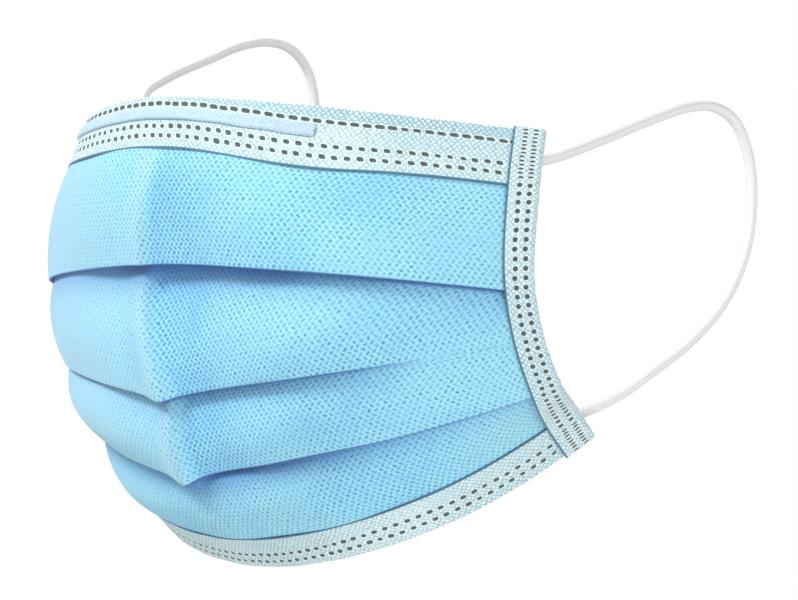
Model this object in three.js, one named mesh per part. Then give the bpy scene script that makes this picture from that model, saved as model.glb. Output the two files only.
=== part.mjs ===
// A pleated three-ply face mask, held open in the shape that it has on a face.
// Millimetres, +Z up, +X to the wearer's left, -Y to the front of the mask.
// The origin lies on the inner face of the top binding, in the middle, where the nose carries it.

import * as THREE from 'three';

// Worn shape, measured on the outer face
const wornWidth = 160;
const centreHeight = 110;
const sideHeight = 69;
const sideDrop = 8.7;
const sideSetback = 57.5;
const chinSetback = 32;

// Cloth and its folds
const clothWall = 1;
const plyGap = 1;
const pleatOverlaps = [7, 6, 6];
const pleatFade = 55;
const pleatSpread = 0.35;
const panelSwells = [1.2, 1.2, 3.2, 1.2];
const flatTurn = 32;
const flatRun = 0.3;

// Bindings, folded over the edges of the cloth
const bindingWall = 1;
const seamGap = 0.3;
const endSlack = 0.1;
const edgeSlack = 0.2;
const topBindingHeight = 14;
const bottomBindingHeight = 11;
const sideBindingWidth = 7.6;

// Nose wire, inside the top binding
const wireLength = 92;
const wireWidth = 4;
const wireThickness = 1;
const wireDrop = 4.8;

// Ear loops
const cordDiameter = 2.8;
const cordSides = 8;
const cordStep = 2;

// Fineness of the faceted surfaces
const columnsPerHalf = 16;
const pleatArcSteps = 3;
const bindingArcSteps = 6;
const panelSteps = 4;
const edgeSteps = 20;
const wireSteps = 24;
const rowSamples = 200;
const probeStep = 0.5;

// Routes of the ear loops, from the upper weld to the lower one
const leftLoopRoute = [
  [65.3, 52.3, -7.4],
  [66.9, 54.5, -7.5],
  [69.3, 59.5, -6.8],
  [71, 75, -2],
  [72.5, 91, 3.5],
  [73.5, 104.5, 7.3],
  [74, 113.5, 7.6],
  [74, 121, 4.5],
  [74, 126, -3],
  [73.5, 128.3, -14],
  [72.5, 127, -26.5],
  [71.5, 120.3, -38.6],
  [70, 108.7, -48.7],
  [68, 96.3, -56],
  [66, 87.5, -61],
  [63, 78, -64.8],
  [60.4, 73, -66],
  [59.5, 70.5, -67.8],
];
const rightLoopRoute = [
  [-65.3, 52.3, -7.4],
  [-66.9, 54.5, -7.5],
  [-69, 58.6, -5.6],
  [-70.4, 59, 1.5],
  [-71.6, 56.2, 9.5],
  [-72.6, 58.2, 17],
  [-73.5, 64.5, 21.3],
  [-74.5, 79, 28],
  [-75, 90, 32.3],
  [-75, 100.5, 34.3],
  [-75, 109.5, 32.7],
  [-75, 115.5, 27],
  [-74.5, 117.8, 17],
  [-74, 116.5, 4],
  [-73, 112.5, -10],
  [-71.8, 106, -24],
  [-70.3, 98.5, -37],
  [-68.3, 90.5, -49],
  [-66, 83.5, -58.5],
  [-63, 77.8, -64.5],
  [-60.4, 73, -66],
  [-59.5, 70.5, -67.8],
];

// Looks
const clothLook = { color: 0x8fd0ee, roughness: 0.8, metalness: 0 };
const bindingLook = { color: 0xd1e9ea, roughness: 0.75, metalness: 0 };
const wireLook = { color: 0xe6eef2, roughness: 0.5, metalness: 0 };
const cordLook = { color: 0xe2e2e2, roughness: 0.85, metalness: 0 };

// Thicknesses that follow from the walls and the seam gap
const bindingThickness = 2 * bindingWall + clothWall + 2 * seamGap;
const seatDepth = bindingThickness / 2;
const foldRadius = (clothWall + plyGap) / 2;
const sideFoldRadius = (bindingThickness + bindingWall) / 2 + seamGap;
const coveredEnd = sideFoldRadius + bindingWall / 2 + endSlack;
const edgeClearance = seatDepth + edgeSlack;
const clothTop = wireDrop + wireWidth + 2 * seamGap;

// A cross row runs from the middle of the mask to the side edge. Its ends are shares of the worn
// sizes. lead and trail say how straight it leaves the middle and reaches the side edge, turn is
// its direction there in degrees, and ease shares its rise between even and late.
function wornRow(middle, end, bend) {
  return {
    middle: new THREE.Vector3(0, middle.back * chinSetback, -middle.down * centreHeight),
    end: new THREE.Vector3(
      end.out * wornWidth / 2,
      end.back * sideSetback,
      -sideDrop - end.down * sideHeight,
    ),
    bend,
  };
}

// The inner edge of a binding lies its height away from the edge row that it folds over.
function bindingRow(edgeRow, height, middle, end, bend) {
  const middleStep = new THREE.Vector3(0, middle.back, -middle.down).multiplyScalar(height);
  const endStep = new THREE.Vector3(end.out, end.back, -end.down).multiplyScalar(height);
  return {
    middle: edgeRow.middle.clone().add(middleStep),
    end: edgeRow.end.clone().add(endStep),
    bend,
  };
}

const topEdge = wornRow(
  { back: 0, down: 0 },
  { out: 0.9, back: 1, down: 0 },
  { lead: 0.43, trail: 0.51, turn: 54, ease: 0.8 },
);
const topBindingEdge = bindingRow(
  topEdge,
  topBindingHeight,
  { back: -0.21, down: 0.87 },
  { out: 0.35, back: -0.54, down: 1 },
  { lead: 0.4, trail: 0.5, turn: 56, ease: 0.64 },
);
const firstFold = wornRow(
  { back: 0.03, down: 0.351 },
  { out: 1, back: 0.79, down: 0.533 },
  { lead: 0.41, trail: 0.5, turn: 64, ease: 0.37 },
);
const secondFold = wornRow(
  { back: 0.17, down: 0.634 },
  { out: 0.98, back: 0.87, down: 0.672 },
  { lead: 0.41, trail: 0.5, turn: 66, ease: 0.85 },
);
const thirdFold = wornRow(
  { back: 0.42, down: 0.81 },
  { out: 0.95, back: 1.02, down: 0.831 },
  { lead: 0.43, trail: 0.51, turn: 64, ease: 0.64 },
);
const bottomEdge = wornRow(
  { back: 1, down: 1 },
  { out: 0.834, back: 1.39, down: 1 },
  { lead: 0.52, trail: 0.54, turn: 64, ease: 0.04 },
);
const bottomBindingEdge = bindingRow(
  bottomEdge,
  bottomBindingHeight,
  { back: -0.72, down: -0.67 },
  { out: 0.27, back: -0.87, down: -0.62 },
  { lead: 0.47, trail: 0.54, turn: 62, ease: 0.03 },
);
const crossRows = [
  topEdge,
  topBindingEdge,
  firstFold,
  secondFold,
  thirdFold,
  bottomBindingEdge,
  bottomEdge,
].map(traceRow);

// Points along a row, each with its distance from the middle measured in plan
function traceRow({ middle, end, bend }) {
  const chord = Math.hypot(end.x - middle.x, end.y - middle.y);
  const turn = THREE.MathUtils.degToRad(bend.turn);
  const plan = new THREE.CubicBezierCurve3(
    new THREE.Vector3(middle.x, middle.y, 0),
    new THREE.Vector3(middle.x + bend.lead * chord, middle.y, 0),
    new THREE.Vector3(
      end.x - bend.trail * chord * Math.cos(turn),
      end.y - bend.trail * chord * Math.sin(turn),
      0,
    ),
    new THREE.Vector3(end.x, end.y, 0),
  );
  plan.arcLengthDivisions = rowSamples;
  const length = plan.getLength();
  const rise = (share) => bend.ease * share + (1 - bend.ease) * share * share;
  const points = Array.from({ length: rowSamples + 1 }, (_, i) => {
    const share = i / rowSamples;
    const point = plan.getPointAt(share);
    point.z = THREE.MathUtils.lerp(middle.z, end.z, rise(share));
    return point;
  });
  return { length, points };
}

// A point on a row, a distance from the side edge; past the middle it lies on the mirrored half.
function rowPoint(row, distance) {
  const place = row.length - distance;
  const sample = Math.min(Math.abs(place) / row.length, 1) * rowSamples;
  const index = Math.min(Math.floor(sample), rowSamples - 1);
  const point = row.points[index].clone().lerp(row.points[index + 1], sample - index);
  if (place < 0) point.x = -point.x;
  if (distance < 0) {
    const outward = row.points[rowSamples].clone().sub(row.points[rowSamples - 1]).normalize();
    point.addScaledVector(outward, -distance);
  }
  return point;
}

// A column joins the points of all rows that lie a share of the way from the middle to a line
// that keeps endGap from the side edge, moved by shift towards the middle.
function makeColumn(share, endGap, shift = 0) {
  const points = crossRows.map((row) => (
    rowPoint(row, endGap + (1 - share) * (row.length - endGap) + shift)
  ));
  const heights = [0];
  for (let i = 1; i < points.length; i += 1) {
    heights.push(heights[i - 1] + points[i].distanceTo(points[i - 1]));
  }
  const chords = points.slice(1).map((point, i) => (
    point.clone().sub(points[i]).divideScalar(heights[i + 1] - heights[i])
  ));
  const slopes = points.map((_, i) => {
    if (i === 0) return chords[0];
    if (i === points.length - 1) return chords[i - 1];
    const before = heights[i] - heights[i - 1];
    const after = heights[i + 1] - heights[i];
    return chords[i - 1].clone().multiplyScalar(after).addScaledVector(chords[i], before)
      .divideScalar(before + after);
  });
  return { points, heights, slopes };
}

// The outer face of a column at a height below its top, by cubic pieces from row to row
function columnPoint({ points, heights, slopes }, height) {
  const last = heights.length - 1;
  if (height <= 0) return points[0].clone().addScaledVector(slopes[0], height);
  if (height >= heights[last]) {
    return points[last].clone().addScaledVector(slopes[last], height - heights[last]);
  }
  const i = heights.findIndex((value) => value > height) - 1;
  const span = heights[i + 1] - heights[i];
  const t = (height - heights[i]) / span;
  const t2 = t * t;
  const t3 = t2 * t;
  return points[i].clone().multiplyScalar(2 * t3 - 3 * t2 + 1)
    .addScaledVector(slopes[i], (t3 - 2 * t2 + t) * span)
    .addScaledVector(points[i + 1], 3 * t2 - 2 * t3)
    .addScaledVector(slopes[i + 1], (t3 - t2) * span);
}

// A place on the mask: a column, with its two neighbours to give the inward direction
function makePlace(share, endGap, shift = 0) {
  return {
    column: makeColumn(share, endGap, shift),
    outer: makeColumn(share, endGap, shift - probeStep),
    inner: makeColumn(share, endGap, shift + probeStep),
  };
}

// The point at a height below the top edge and a depth behind the outer face
function placePoint(place, height, depth, side) {
  const across = columnPoint(place.outer, height).sub(columnPoint(place.inner, height));
  const below = columnPoint(place.column, height + probeStep);
  const down = below.sub(columnPoint(place.column, height - probeStep));
  const inward = across.cross(down).normalize();
  const point = columnPoint(place.column, height).addScaledVector(inward, depth);
  point.x *= side;
  return point;
}

// Outline of a strip of cloth that follows a midline: its front line and its back line
function thicken(midline, wall) {
  const normals = midline.map((_, i) => {
    const before = midline[Math.max(i - 1, 0)];
    const here = midline[i];
    const after = midline[Math.min(i + 1, midline.length - 1)];
    const into = new THREE.Vector2(here[0] - before[0], here[1] - before[1]);
    const out = new THREE.Vector2(after[0] - here[0], after[1] - here[1]);
    if (i === 0) into.copy(out);
    if (i === midline.length - 1) out.copy(into);
    into.normalize();
    out.normalize();
    const mean = into.clone().add(out).normalize();
    const stretch = 1 / Math.max(mean.dot(into), 0.5);
    return [-mean.y * stretch, mean.x * stretch];
  });
  const offset = (amount) => midline.map(([a, b], i) => (
    [a + normals[i][0] * amount, b + normals[i][1] * amount]
  ));
  return { front: offset(-wall / 2), back: offset(wall / 2) };
}

// Points of an arc in a section, without its first point
function arcPoints(centre, radius, from, to, steps) {
  return Array.from({ length: steps }, (_, i) => {
    const angle = THREE.MathUtils.lerp(from, to, (i + 1) / steps);
    return [centre[0] + radius * Math.cos(angle), centre[1] + radius * Math.sin(angle)];
  });
}

// A closed body swept through stations; each station lists the front line, then the back line.
function sweep(stations) {
  const lineLength = stations[0].front.length;
  const ringLength = 2 * lineLength;
  const positions = [];
  for (const { front, back } of stations) {
    for (const point of [...front, ...[...back].reverse()]) positions.push(...point.toArray());
  }
  const indices = [];
  const addQuad = (a, b, c, d) => indices.push(a, b, c, a, c, d);
  for (let s = 0; s < stations.length - 1; s += 1) {
    for (let k = 0; k < ringLength; k += 1) {
      const next = (k + 1) % ringLength;
      const here = s * ringLength;
      const there = here + ringLength;
      addQuad(here + k, here + next, there + next, there + k);
    }
  }
  const lastRing = (stations.length - 1) * ringLength;
  for (let k = 0; k < lineLength - 1; k += 1) {
    const mirror = ringLength - 1 - k;
    addQuad(k, mirror, mirror - 1, k + 1);
    addQuad(lastRing + k, lastRing + k + 1, lastRing + mirror - 1, lastRing + mirror);
  }
  const geometry = new THREE.BufferGeometry();
  geometry.setAttribute('position', new THREE.Float32BufferAttribute(positions, 3));
  geometry.setIndex(signedVolume(positions, indices) < 0 ? flipped(indices) : indices);
  geometry.computeVertexNormals();
  return geometry;
}

function signedVolume(positions, indices) {
  const corner = (i) => new THREE.Vector3().fromArray(positions, 3 * i);
  let volume = 0;
  for (let i = 0; i < indices.length; i += 3) {
    const [a, b, c] = [corner(indices[i]), corner(indices[i + 1]), corner(indices[i + 2])];
    volume += a.dot(b.cross(c)) / 6;
  }
  return volume;
}

function flipped(indices) {
  const result = [];
  for (let i = 0; i < indices.length; i += 3) result.push(indices[i], indices[i + 2], indices[i + 1]);
  return result;
}

// Stations across the whole mask, from the right side edge to the left one
function acrossStations(section) {
  return Array.from({ length: 2 * columnsPerHalf + 1 }, (_, i) => {
    const share = i / columnsPerHalf - 1;
    const side = share < 0 ? -1 : 1;
    const place = makePlace(Math.abs(share), coveredEnd);
    const { front, back } = section(place.column, Math.abs(share));
    const lift = (line) => line.map(([height, depth]) => placePoint(place, height, depth, side));
    return { front: lift(front), back: lift(back) };
  });
}

// How open a pleat is at a column: 1 near the middle, 0 where the side binding presses it flat
function pleatOpenness(share) {
  const fromBinding = (1 - share) * crossRows[0].length - sideBindingWidth;
  return THREE.MathUtils.smoothstep(fromBinding, 0, pleatFade);
}

// Midline of one pleat: over the fold edge, back up behind it, and down again further in. Where
// it opens from the side binding it first turns right over, and then its plies overlap.
function pleatMidline(foldHeight, openness, overlap) {
  const flat = THREE.MathUtils.degToRad(flatTurn);
  const turn = THREE.MathUtils.lerp(flat, Math.PI, Math.min(openness / pleatSpread, 1));
  const run = flatRun + overlap * Math.max(openness - pleatSpread, 0) / (1 - pleatSpread);
  const edgeReach = (foldRadius + clothWall / 2) * Math.sin(Math.min(turn, Math.PI / 2));
  const quarter = Math.PI / 2;
  const start = [foldHeight - edgeReach, clothWall / 2];
  const overCentre = [start[0], start[1] + foldRadius];
  const over = arcPoints(overCentre, foldRadius, -quarter, turn - quarter, pleatArcSteps);
  const [overHeight, overDepth] = over[over.length - 1];
  const behind = [overHeight + run * Math.cos(turn), overDepth + run * Math.sin(turn)];
  const backCentre = [
    behind[0] + foldRadius * Math.sin(turn),
    behind[1] - foldRadius * Math.cos(turn),
  ];
  const back = arcPoints(backCentre, foldRadius, turn + quarter, quarter, pleatArcSteps);
  return [start, ...over, behind, ...back];
}

// A panel of cloth between two heights. It comes forward early and swells between its folds.
function panelMidline(from, to, swell) {
  return Array.from({ length: panelSteps - 1 }, (_, i) => {
    const share = (i + 1) / panelSteps;
    const forward = 1 - (1 - share) ** 3;
    return [
      THREE.MathUtils.lerp(from[0], to[0], share),
      THREE.MathUtils.lerp(from[1], to[1], forward) - swell * Math.sin(Math.PI * share),
    ];
  });
}

// Midline of the cloth down one column, seated in both bindings and pleated three times
function bodyMidline({ heights }, share) {
  const [, topInner, first, second, third, bottomInner, bottom] = heights;
  const openness = pleatOpenness(share);
  const line = [[clothTop, seatDepth], [topInner, seatDepth]];
  [first, second, third].forEach((foldHeight, i) => {
    const pleat = pleatMidline(foldHeight, openness, pleatOverlaps[i]);
    const swell = panelSwells[i] * openness;
    line.push(...panelMidline(line[line.length - 1], pleat[0], swell), ...pleat);
    const [endHeight, endDepth] = pleat[pleat.length - 1];
    line.push([Math.max(endHeight, foldHeight) + clothWall / 2, endDepth]);
  });
  const seat = [bottomInner, seatDepth];
  const lastSwell = panelSwells[3] * openness;
  line.push(...panelMidline(line[line.length - 1], seat, lastSwell), seat);
  line.push([bottom - edgeClearance, seatDepth]);
  return line;
}

function makePleatedBody() {
  return sweep(acrossStations((column, share) => thicken(bodyMidline(column, share), clothWall)));
}

// Midline of a strip folded over an edge: up the front leaf, round the edge, down the back leaf.
// Its coordinates are the distance from the edge and the depth.
function foldedStrip(reach, frontDepth, foldMidRadius) {
  const bendStart = foldMidRadius + bindingWall / 2;
  const backDepth = frontDepth + 2 * foldMidRadius;
  const halfway = (reach + bendStart) / 2;
  const bendCentre = [bendStart, frontDepth + foldMidRadius];
  const bend = arcPoints(bendCentre, foldMidRadius, -Math.PI / 2, -1.5 * Math.PI, bindingArcSteps);
  return [
    [reach, frontDepth],
    [halfway, frontDepth],
    [bendStart, frontDepth],
    ...bend,
    [halfway, backDepth],
    [reach, backDepth],
  ];
}

// The top and bottom bindings keep their front leaf on the outer face of the mask.
function edgeStrip(reach) {
  return foldedStrip(reach, bindingWall / 2, seatDepth - bindingWall / 2);
}

function makeTopBinding() {
  return sweep(acrossStations(({ heights }) => thicken(edgeStrip(heights[1]), bindingWall)));
}

function makeBottomBinding() {
  return sweep(acrossStations(({ heights }) => {
    const [inner, bottom] = heights.slice(-2);
    const midline = edgeStrip(bottom - inner).map(([distance, depth]) => [bottom - distance, depth]);
    return thicken(midline, bindingWall);
  }));
}

// The side binding folds over the side edge, over the ends of the other two bindings.
function makeSideBinding(side) {
  const frontDepth = -seamGap - bindingWall / 2;
  const strip = foldedStrip(sideBindingWidth, frontDepth, sideFoldRadius);
  const { front, back } = thicken(strip, bindingWall);
  const prepare = (line) => line.map(([distance, depth]) => ({ place: makePlace(1, distance), depth }));
  const lines = { front: prepare(front), back: prepare(back) };
  const lift = (line, share) => line.map(({ place, depth }) => (
    placePoint(place, share * place.column.heights.at(-1), depth, side)
  ));
  return sweep(Array.from({ length: edgeSteps + 1 }, (_, i) => {
    const share = i / edgeSteps;
    return { front: lift(lines.front, share), back: lift(lines.back, share) };
  }));
}

function makeNoseWire() {
  const frontDepth = seatDepth - wireThickness / 2;
  const backDepth = seatDepth + wireThickness / 2;
  return sweep(Array.from({ length: wireSteps + 1 }, (_, i) => {
    const along = (i / wireSteps - 0.5) * wireLength;
    const place = makePlace(0, 0, -Math.abs(along));
    const side = along < 0 ? -1 : 1;
    const line = (depth) => [wireDrop, wireDrop + wireWidth].map((height) => (
      placePoint(place, height, depth, side)
    ));
    return { front: line(frontDepth), back: line(backDepth) };
  }));
}

function makeEarLoop(route) {
  const path = new THREE.CatmullRomCurve3(route.map((point) => new THREE.Vector3(...point)));
  const section = new THREE.Shape(Array.from({ length: cordSides }, (_, i) => {
    const angle = 2 * Math.PI * (i + 0.5) / cordSides;
    return new THREE.Vector2(Math.cos(angle), Math.sin(angle)).multiplyScalar(cordDiameter / 2);
  }));
  const steps = Math.ceil(path.getLength() / (cordStep * cordDiameter));
  return new THREE.ExtrudeGeometry(section, { extrudePath: path, steps, bevelEnabled: false });
}

// The middle of the top binding's inner face, which becomes the origin
const noseSeat = placePoint(makePlace(0, 0), topBindingHeight / 2, bindingThickness, 1);

function addPiece(group, name, geometry, look) {
  const piece = new THREE.Mesh(geometry, new THREE.MeshStandardMaterial(look));
  piece.name = name;
  group.add(piece);
}

function makeMask() {
  const mask = new THREE.Group();
  const shell = new THREE.Group();
  shell.position.copy(noseSeat).negate();
  addPiece(shell, 'pleated_body', makePleatedBody(), clothLook);
  addPiece(shell, 'top_binding', makeTopBinding(), bindingLook);
  addPiece(shell, 'bottom_binding', makeBottomBinding(), bindingLook);
  addPiece(shell, 'side_binding_left', makeSideBinding(1), bindingLook);
  addPiece(shell, 'side_binding_right', makeSideBinding(-1), bindingLook);
  addPiece(shell, 'nose_wire', makeNoseWire(), wireLook);
  mask.add(shell);
  addPiece(mask, 'ear_loop_left', makeEarLoop(leftLoopRoute), cordLook);
  addPiece(mask, 'ear_loop_right', makeEarLoop(rightLoopRoute), cordLook);
  return mask;
}

export default makeMask();
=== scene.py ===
"""A pleated three-ply face mask in its worn shape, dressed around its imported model.

The classes hold their sizes in millimetres, and a mesh becomes metres when it is made. Two
directions run over the mask: across, from its middle to the side edges, and down, from its top
edge to the bottom one. Depth is measured inward from the smooth outer face.
"""

import logging
import math
from dataclasses import dataclass, field
from enum import Enum

import bpy
import numpy as np
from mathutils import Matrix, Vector


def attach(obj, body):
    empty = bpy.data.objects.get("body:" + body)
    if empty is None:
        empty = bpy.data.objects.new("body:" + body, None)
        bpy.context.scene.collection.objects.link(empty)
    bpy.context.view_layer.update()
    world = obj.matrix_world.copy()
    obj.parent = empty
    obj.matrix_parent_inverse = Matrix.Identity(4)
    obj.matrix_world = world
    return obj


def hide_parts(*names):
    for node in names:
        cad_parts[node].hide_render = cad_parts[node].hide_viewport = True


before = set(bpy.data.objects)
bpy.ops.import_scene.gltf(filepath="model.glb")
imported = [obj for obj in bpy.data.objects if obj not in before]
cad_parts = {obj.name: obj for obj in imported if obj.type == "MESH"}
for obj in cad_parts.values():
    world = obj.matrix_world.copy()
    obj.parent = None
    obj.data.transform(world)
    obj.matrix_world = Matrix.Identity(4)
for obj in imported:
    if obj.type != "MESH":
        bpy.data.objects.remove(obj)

Array = np.ndarray

MM = 0.001
ROOT = "root"
CLOTH_MM = "cloth_mm"
WELD = "weld"
# painted shadow line along each band's inner edges, and the line pressed below the wire
EDGE_SHADE_AND_PRESSED_LINE = "edge"
PLAIN = "plain"
# painted shade inside the pleats and under their folds
PAINTED_FOLD_SHADE = "painted_fold_shade"
# painted light and shade on the cloth's blue, and a deeper strip on the top band
TONE_AND_PAINTED_LIGHT = "tone_and_painted_light"
# painted shade in the grooves of the elastic's knit
GROOVE_SHADE = "groove_shade"

SHARP_ANGLE = 50
LEAST_COSINE = 0.6
BEZIER_FINENESS = 10
INNER_SHIFT = 40.0
DENT_RANGE = (0.2, 0.9)
LEFT_CHEEK = (12, 56)
RIGHT_CHEEK = (52, 84)

log = logging.getLogger("face_mask")


class Side(Enum):
    """The two sides of the wearer, as the sign of X."""

    LEFT = 1
    RIGHT = -1


class Border(Enum):
    """The two long edges that a band folds over."""

    TOP = "top"
    BOTTOM = "bottom"


def smoothstep(value: Array, low: float, high: float) -> Array:
    """Rise smoothly from 0 at low to 1 at high, by 3 t squared minus 2 t cubed."""
    t = np.clip((value - low) / (high - low), 0, 1)
    return t * t * (3 - 2 * t)


def lerp(start: Array, end: Array, share: Array) -> Array:
    """Mix from start to end by a share."""
    return start + (end - start) * share


def unit(vectors: Array) -> Array:
    """Scale vectors to length 1."""
    return vectors / np.maximum(np.linalg.norm(vectors, axis=-1, keepdims=True), 1e-12)


def running_length(steps: Array, axis: int = -1) -> Array:
    """Add up steps along an axis, from 0 at its first place."""
    return np.insert(np.cumsum(steps, axis=axis), 0, 0.0, axis=axis)


def towards_side(across: Array) -> Array:
    """Give 0 around the nose and 1 where the top band lies flat along the cheek.

    The band lies flat nearer to the nose on the wearer's left.
    """
    return smoothstep(across, *LEFT_CHEEK) + smoothstep(-across, *RIGHT_CHEEK)


@dataclass(frozen=True)
class CrossRow:
    """One row across the mask, from its middle to the side edge.

    lead and trail say how straight it leaves the middle and reaches the side edge, turn is its
    direction there in degrees, and ease shares its rise between even and late. rounding is the
    share of the row over which its height rounds off in the middle.
    """

    middle: tuple[float, float, float]
    end: tuple[float, float, float]
    lead: float
    trail: float
    turn: float
    ease: float
    rounding: float = 0.001

    def trace(self, samples: int) -> tuple[float, Array]:
        """Measure the row out in even steps.

        A cubic Bezier curve in plan goes from the middle to the end, and its height is lerped by
        ease q + (1 - ease) q squared, where q is the share of the plan length.

        Args:
            samples: the number of even steps.

        Returns:
            The row's plan length, and its points, one for each step and one more.
        """
        start = np.array(self.middle[:2])
        stop = np.array(self.end[:2])
        chord = np.linalg.norm(stop - start)
        turn = math.radians(self.turn)
        first = start + self.lead * chord * np.array([1.0, 0.0])
        second = stop - self.trail * chord * np.array([math.cos(turn), math.sin(turn)])
        t = np.linspace(0, 1, BEZIER_FINENESS * samples + 1)[:, None]
        plan = (1 - t) ** 3 * start + 3 * (1 - t) ** 2 * t * first
        plan = plan + 3 * (1 - t) * t**2 * second + t**3 * stop
        along = running_length(np.linalg.norm(np.diff(plan, axis=0), axis=1))
        share = np.linspace(0, 1, samples + 1)
        x, y = (np.interp(share * along[-1], along, plan[:, k]) for k in (0, 1))
        even = np.hypot(share, self.rounding) - self.rounding
        even = even / even[-1]
        z = lerp(self.middle[2], self.end[2], self.ease * even + (1 - self.ease) * share**2)
        return float(along[-1]), np.stack([x, y, z], axis=1)


@dataclass
class WornForm:
    """The smooth outer face of the worn mask, as a function of across, down and depth."""

    worn_width: float = 160
    centre_height: float = 110
    side_height: float = 69
    side_drop: float = 8.7
    side_setback: float = 57.5
    chin_setback: float = 32
    top_band_height: float = 14
    bottom_band_height: float = 11
    band_thickness: float = 3.6
    top_band_middle: float = 12.2
    top_band_side: float = 16.2
    samples: int = 200
    probe: float = 0.5
    lengths: Array = field(init=False)
    points: Array = field(init=False)
    seat: Array = field(init=False)

    def __post_init__(self) -> None:
        """Trace the rows and find the origin, on the inner face of the top band."""
        traced = [row.trace(self.samples) for row in self.rows()]
        self.lengths = np.array([length for length, _ in traced])
        self.points = np.stack([points for _, points in traced])
        self.seat = np.zeros(3)
        zero = np.zeros(1)
        half = np.full(1, self.top_band_height / 2)
        self.seat = self.place(zero, zero, half, np.full(1, self.band_thickness))[0]

    def worn_row(
        self,
        middle: tuple[float, float],
        end: tuple[float, float, float],
        bend: tuple[float, ...],
    ) -> CrossRow:
        """Make a row whose ends are shares of the worn sizes.

        Args:
            middle: how far back and down its middle lies, as shares.
            end: how far out, back and down its end lies, as shares.
            bend: lead, trail, turn and ease, and rounding where it isn't the usual one.

        Returns:
            The row in millimetres.
        """
        back, down = middle
        out, end_back, end_down = end
        return CrossRow(
            (0, back * self.chin_setback, -down * self.centre_height),
            (
                out * self.worn_width / 2,
                end_back * self.side_setback,
                -self.side_drop - end_down * self.side_height,
            ),
            *bend,
        )

    @staticmethod
    def band_row(
        edge: CrossRow,
        height: float,
        middle: tuple[float, float],
        end: tuple[float, float, float],
        bend: tuple[float, ...],
    ) -> CrossRow:
        """Make the row of a band's inner edge, which lies the band's height from an edge row.

        Args:
            edge: the row that the band folds over.
            height: the band's height.
            middle: the step back and down in the middle, for each unit of height.
            end: the step out, back and down at the end, for each unit of height.
            bend: lead, trail, turn and ease, and rounding where it isn't the usual one.

        Returns:
            The row in millimetres.
        """
        middle_step = height * np.array([0, middle[0], -middle[1]])
        end_step = height * np.array([end[0], end[1], -end[2]])
        return CrossRow(
            tuple(np.array(edge.middle) + middle_step), tuple(np.array(edge.end) + end_step), *bend
        )

    def rows(self) -> list[CrossRow]:
        """List the rows: top edge, top band, the three folds, bottom band and bottom edge."""
        top = self.worn_row((0, 0), (0.9, 1, 0), (0.43, 0.51, 54, 0.9, 0.1))
        bottom = self.worn_row((1, 1), (0.834, 1.39, 1), (0.52, 0.54, 64, 0.04))
        return [
            top,
            self.band_row(
                top,
                self.top_band_height,
                (-0.21, 0.87),
                (0.35, -0.54, 1),
                (0.4, 0.5, 56, 0.72, 0.1),
            ),
            self.worn_row((0.03, 0.351), (1, 0.79, 0.533), (0.41, 0.5, 64, 0.37, 0.1)),
            self.worn_row((0.17, 0.634), (0.98, 0.87, 0.672), (0.41, 0.5, 66, 0.85)),
            self.worn_row((0.42, 0.81), (0.95, 1.02, 0.831), (0.43, 0.51, 64, 0.64)),
            self.band_row(
                bottom,
                self.bottom_band_height,
                (-0.72, -0.67),
                (0.27, -0.87, -0.62),
                (0.47, 0.54, 62, 0.03),
            ),
            bottom,
        ]

    def columns(self, share: Array, gap: Array, shift: float = 0) -> tuple[Array, Array, Array]:
        """Join the rows into columns.

        A column's points lie at a distance gap + (1 - share)(length - gap) + shift from the side
        edge on each row. Past the middle they lie on the mirrored half, and outside the side
        edge on the row's straight extension.

        Args:
            share: the share of the way from the middle to the side edge, without its sign.
            gap: the distance from the side edge at which that share is 1.
            shift: a further distance towards the middle.

        Returns:
            Points, heights below the top edge and slopes, one of each for each row.
        """
        length = self.lengths
        distance = gap[:, None] + (1 - share[:, None]) * (length - gap[:, None]) + shift
        place = length - distance
        sample = np.clip(np.abs(place) / length, 0, 1) * self.samples
        index = np.minimum(sample.astype(int), self.samples - 1)
        row = np.arange(len(length))[None, :]
        here = self.points[row, index]
        there = self.points[row, index + 1]
        points = lerp(here, there, (sample - index)[..., None])
        points[..., 0] *= np.where(place < 0, -1, 1)
        outward = unit(self.points[:, -1] - self.points[:, -2])
        points = points + outward * np.maximum(-distance, 0)[..., None]
        steps = np.linalg.norm(np.diff(points, axis=1), axis=2)
        heights = running_length(steps)
        chords = np.diff(points, axis=1) / steps[..., None]
        before = steps[:, :-1, None]
        after = steps[:, 1:, None]
        inner = (chords[:, :-1] * after + chords[:, 1:] * before) / (before + after)
        slopes = np.concatenate([chords[:, :1], inner, chords[:, -1:]], axis=1)
        return points, heights, slopes

    @staticmethod
    def down_column(column: tuple[Array, Array, Array], height: Array) -> Array:
        """Find points down columns by cubic Hermite pieces from row to row, straight past them."""
        points, heights, slopes = column
        last = heights.shape[1] - 2
        index = np.clip((heights <= height[:, None]).sum(axis=1) - 1, 0, last)
        k = np.arange(len(height))
        span = heights[k, index + 1] - heights[k, index]
        beyond = np.minimum(height, 0) + np.maximum(height - heights[:, -1], 0)
        t = ((np.clip(height, 0, heights[:, -1]) - heights[k, index]) / span)[:, None]
        span = span[:, None]
        point = points[k, index] * (2 * t**3 - 3 * t**2 + 1)
        point = point + slopes[k, index] * (t**3 - 2 * t**2 + t) * span
        point = point + points[k, index + 1] * (3 * t**2 - 2 * t**3)
        point = point + slopes[k, index + 1] * (t**3 - t**2) * span
        end_slope = np.where((height < 0)[:, None], slopes[:, 0], slopes[:, -1])
        return point + end_slope * beyond[:, None]

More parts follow.
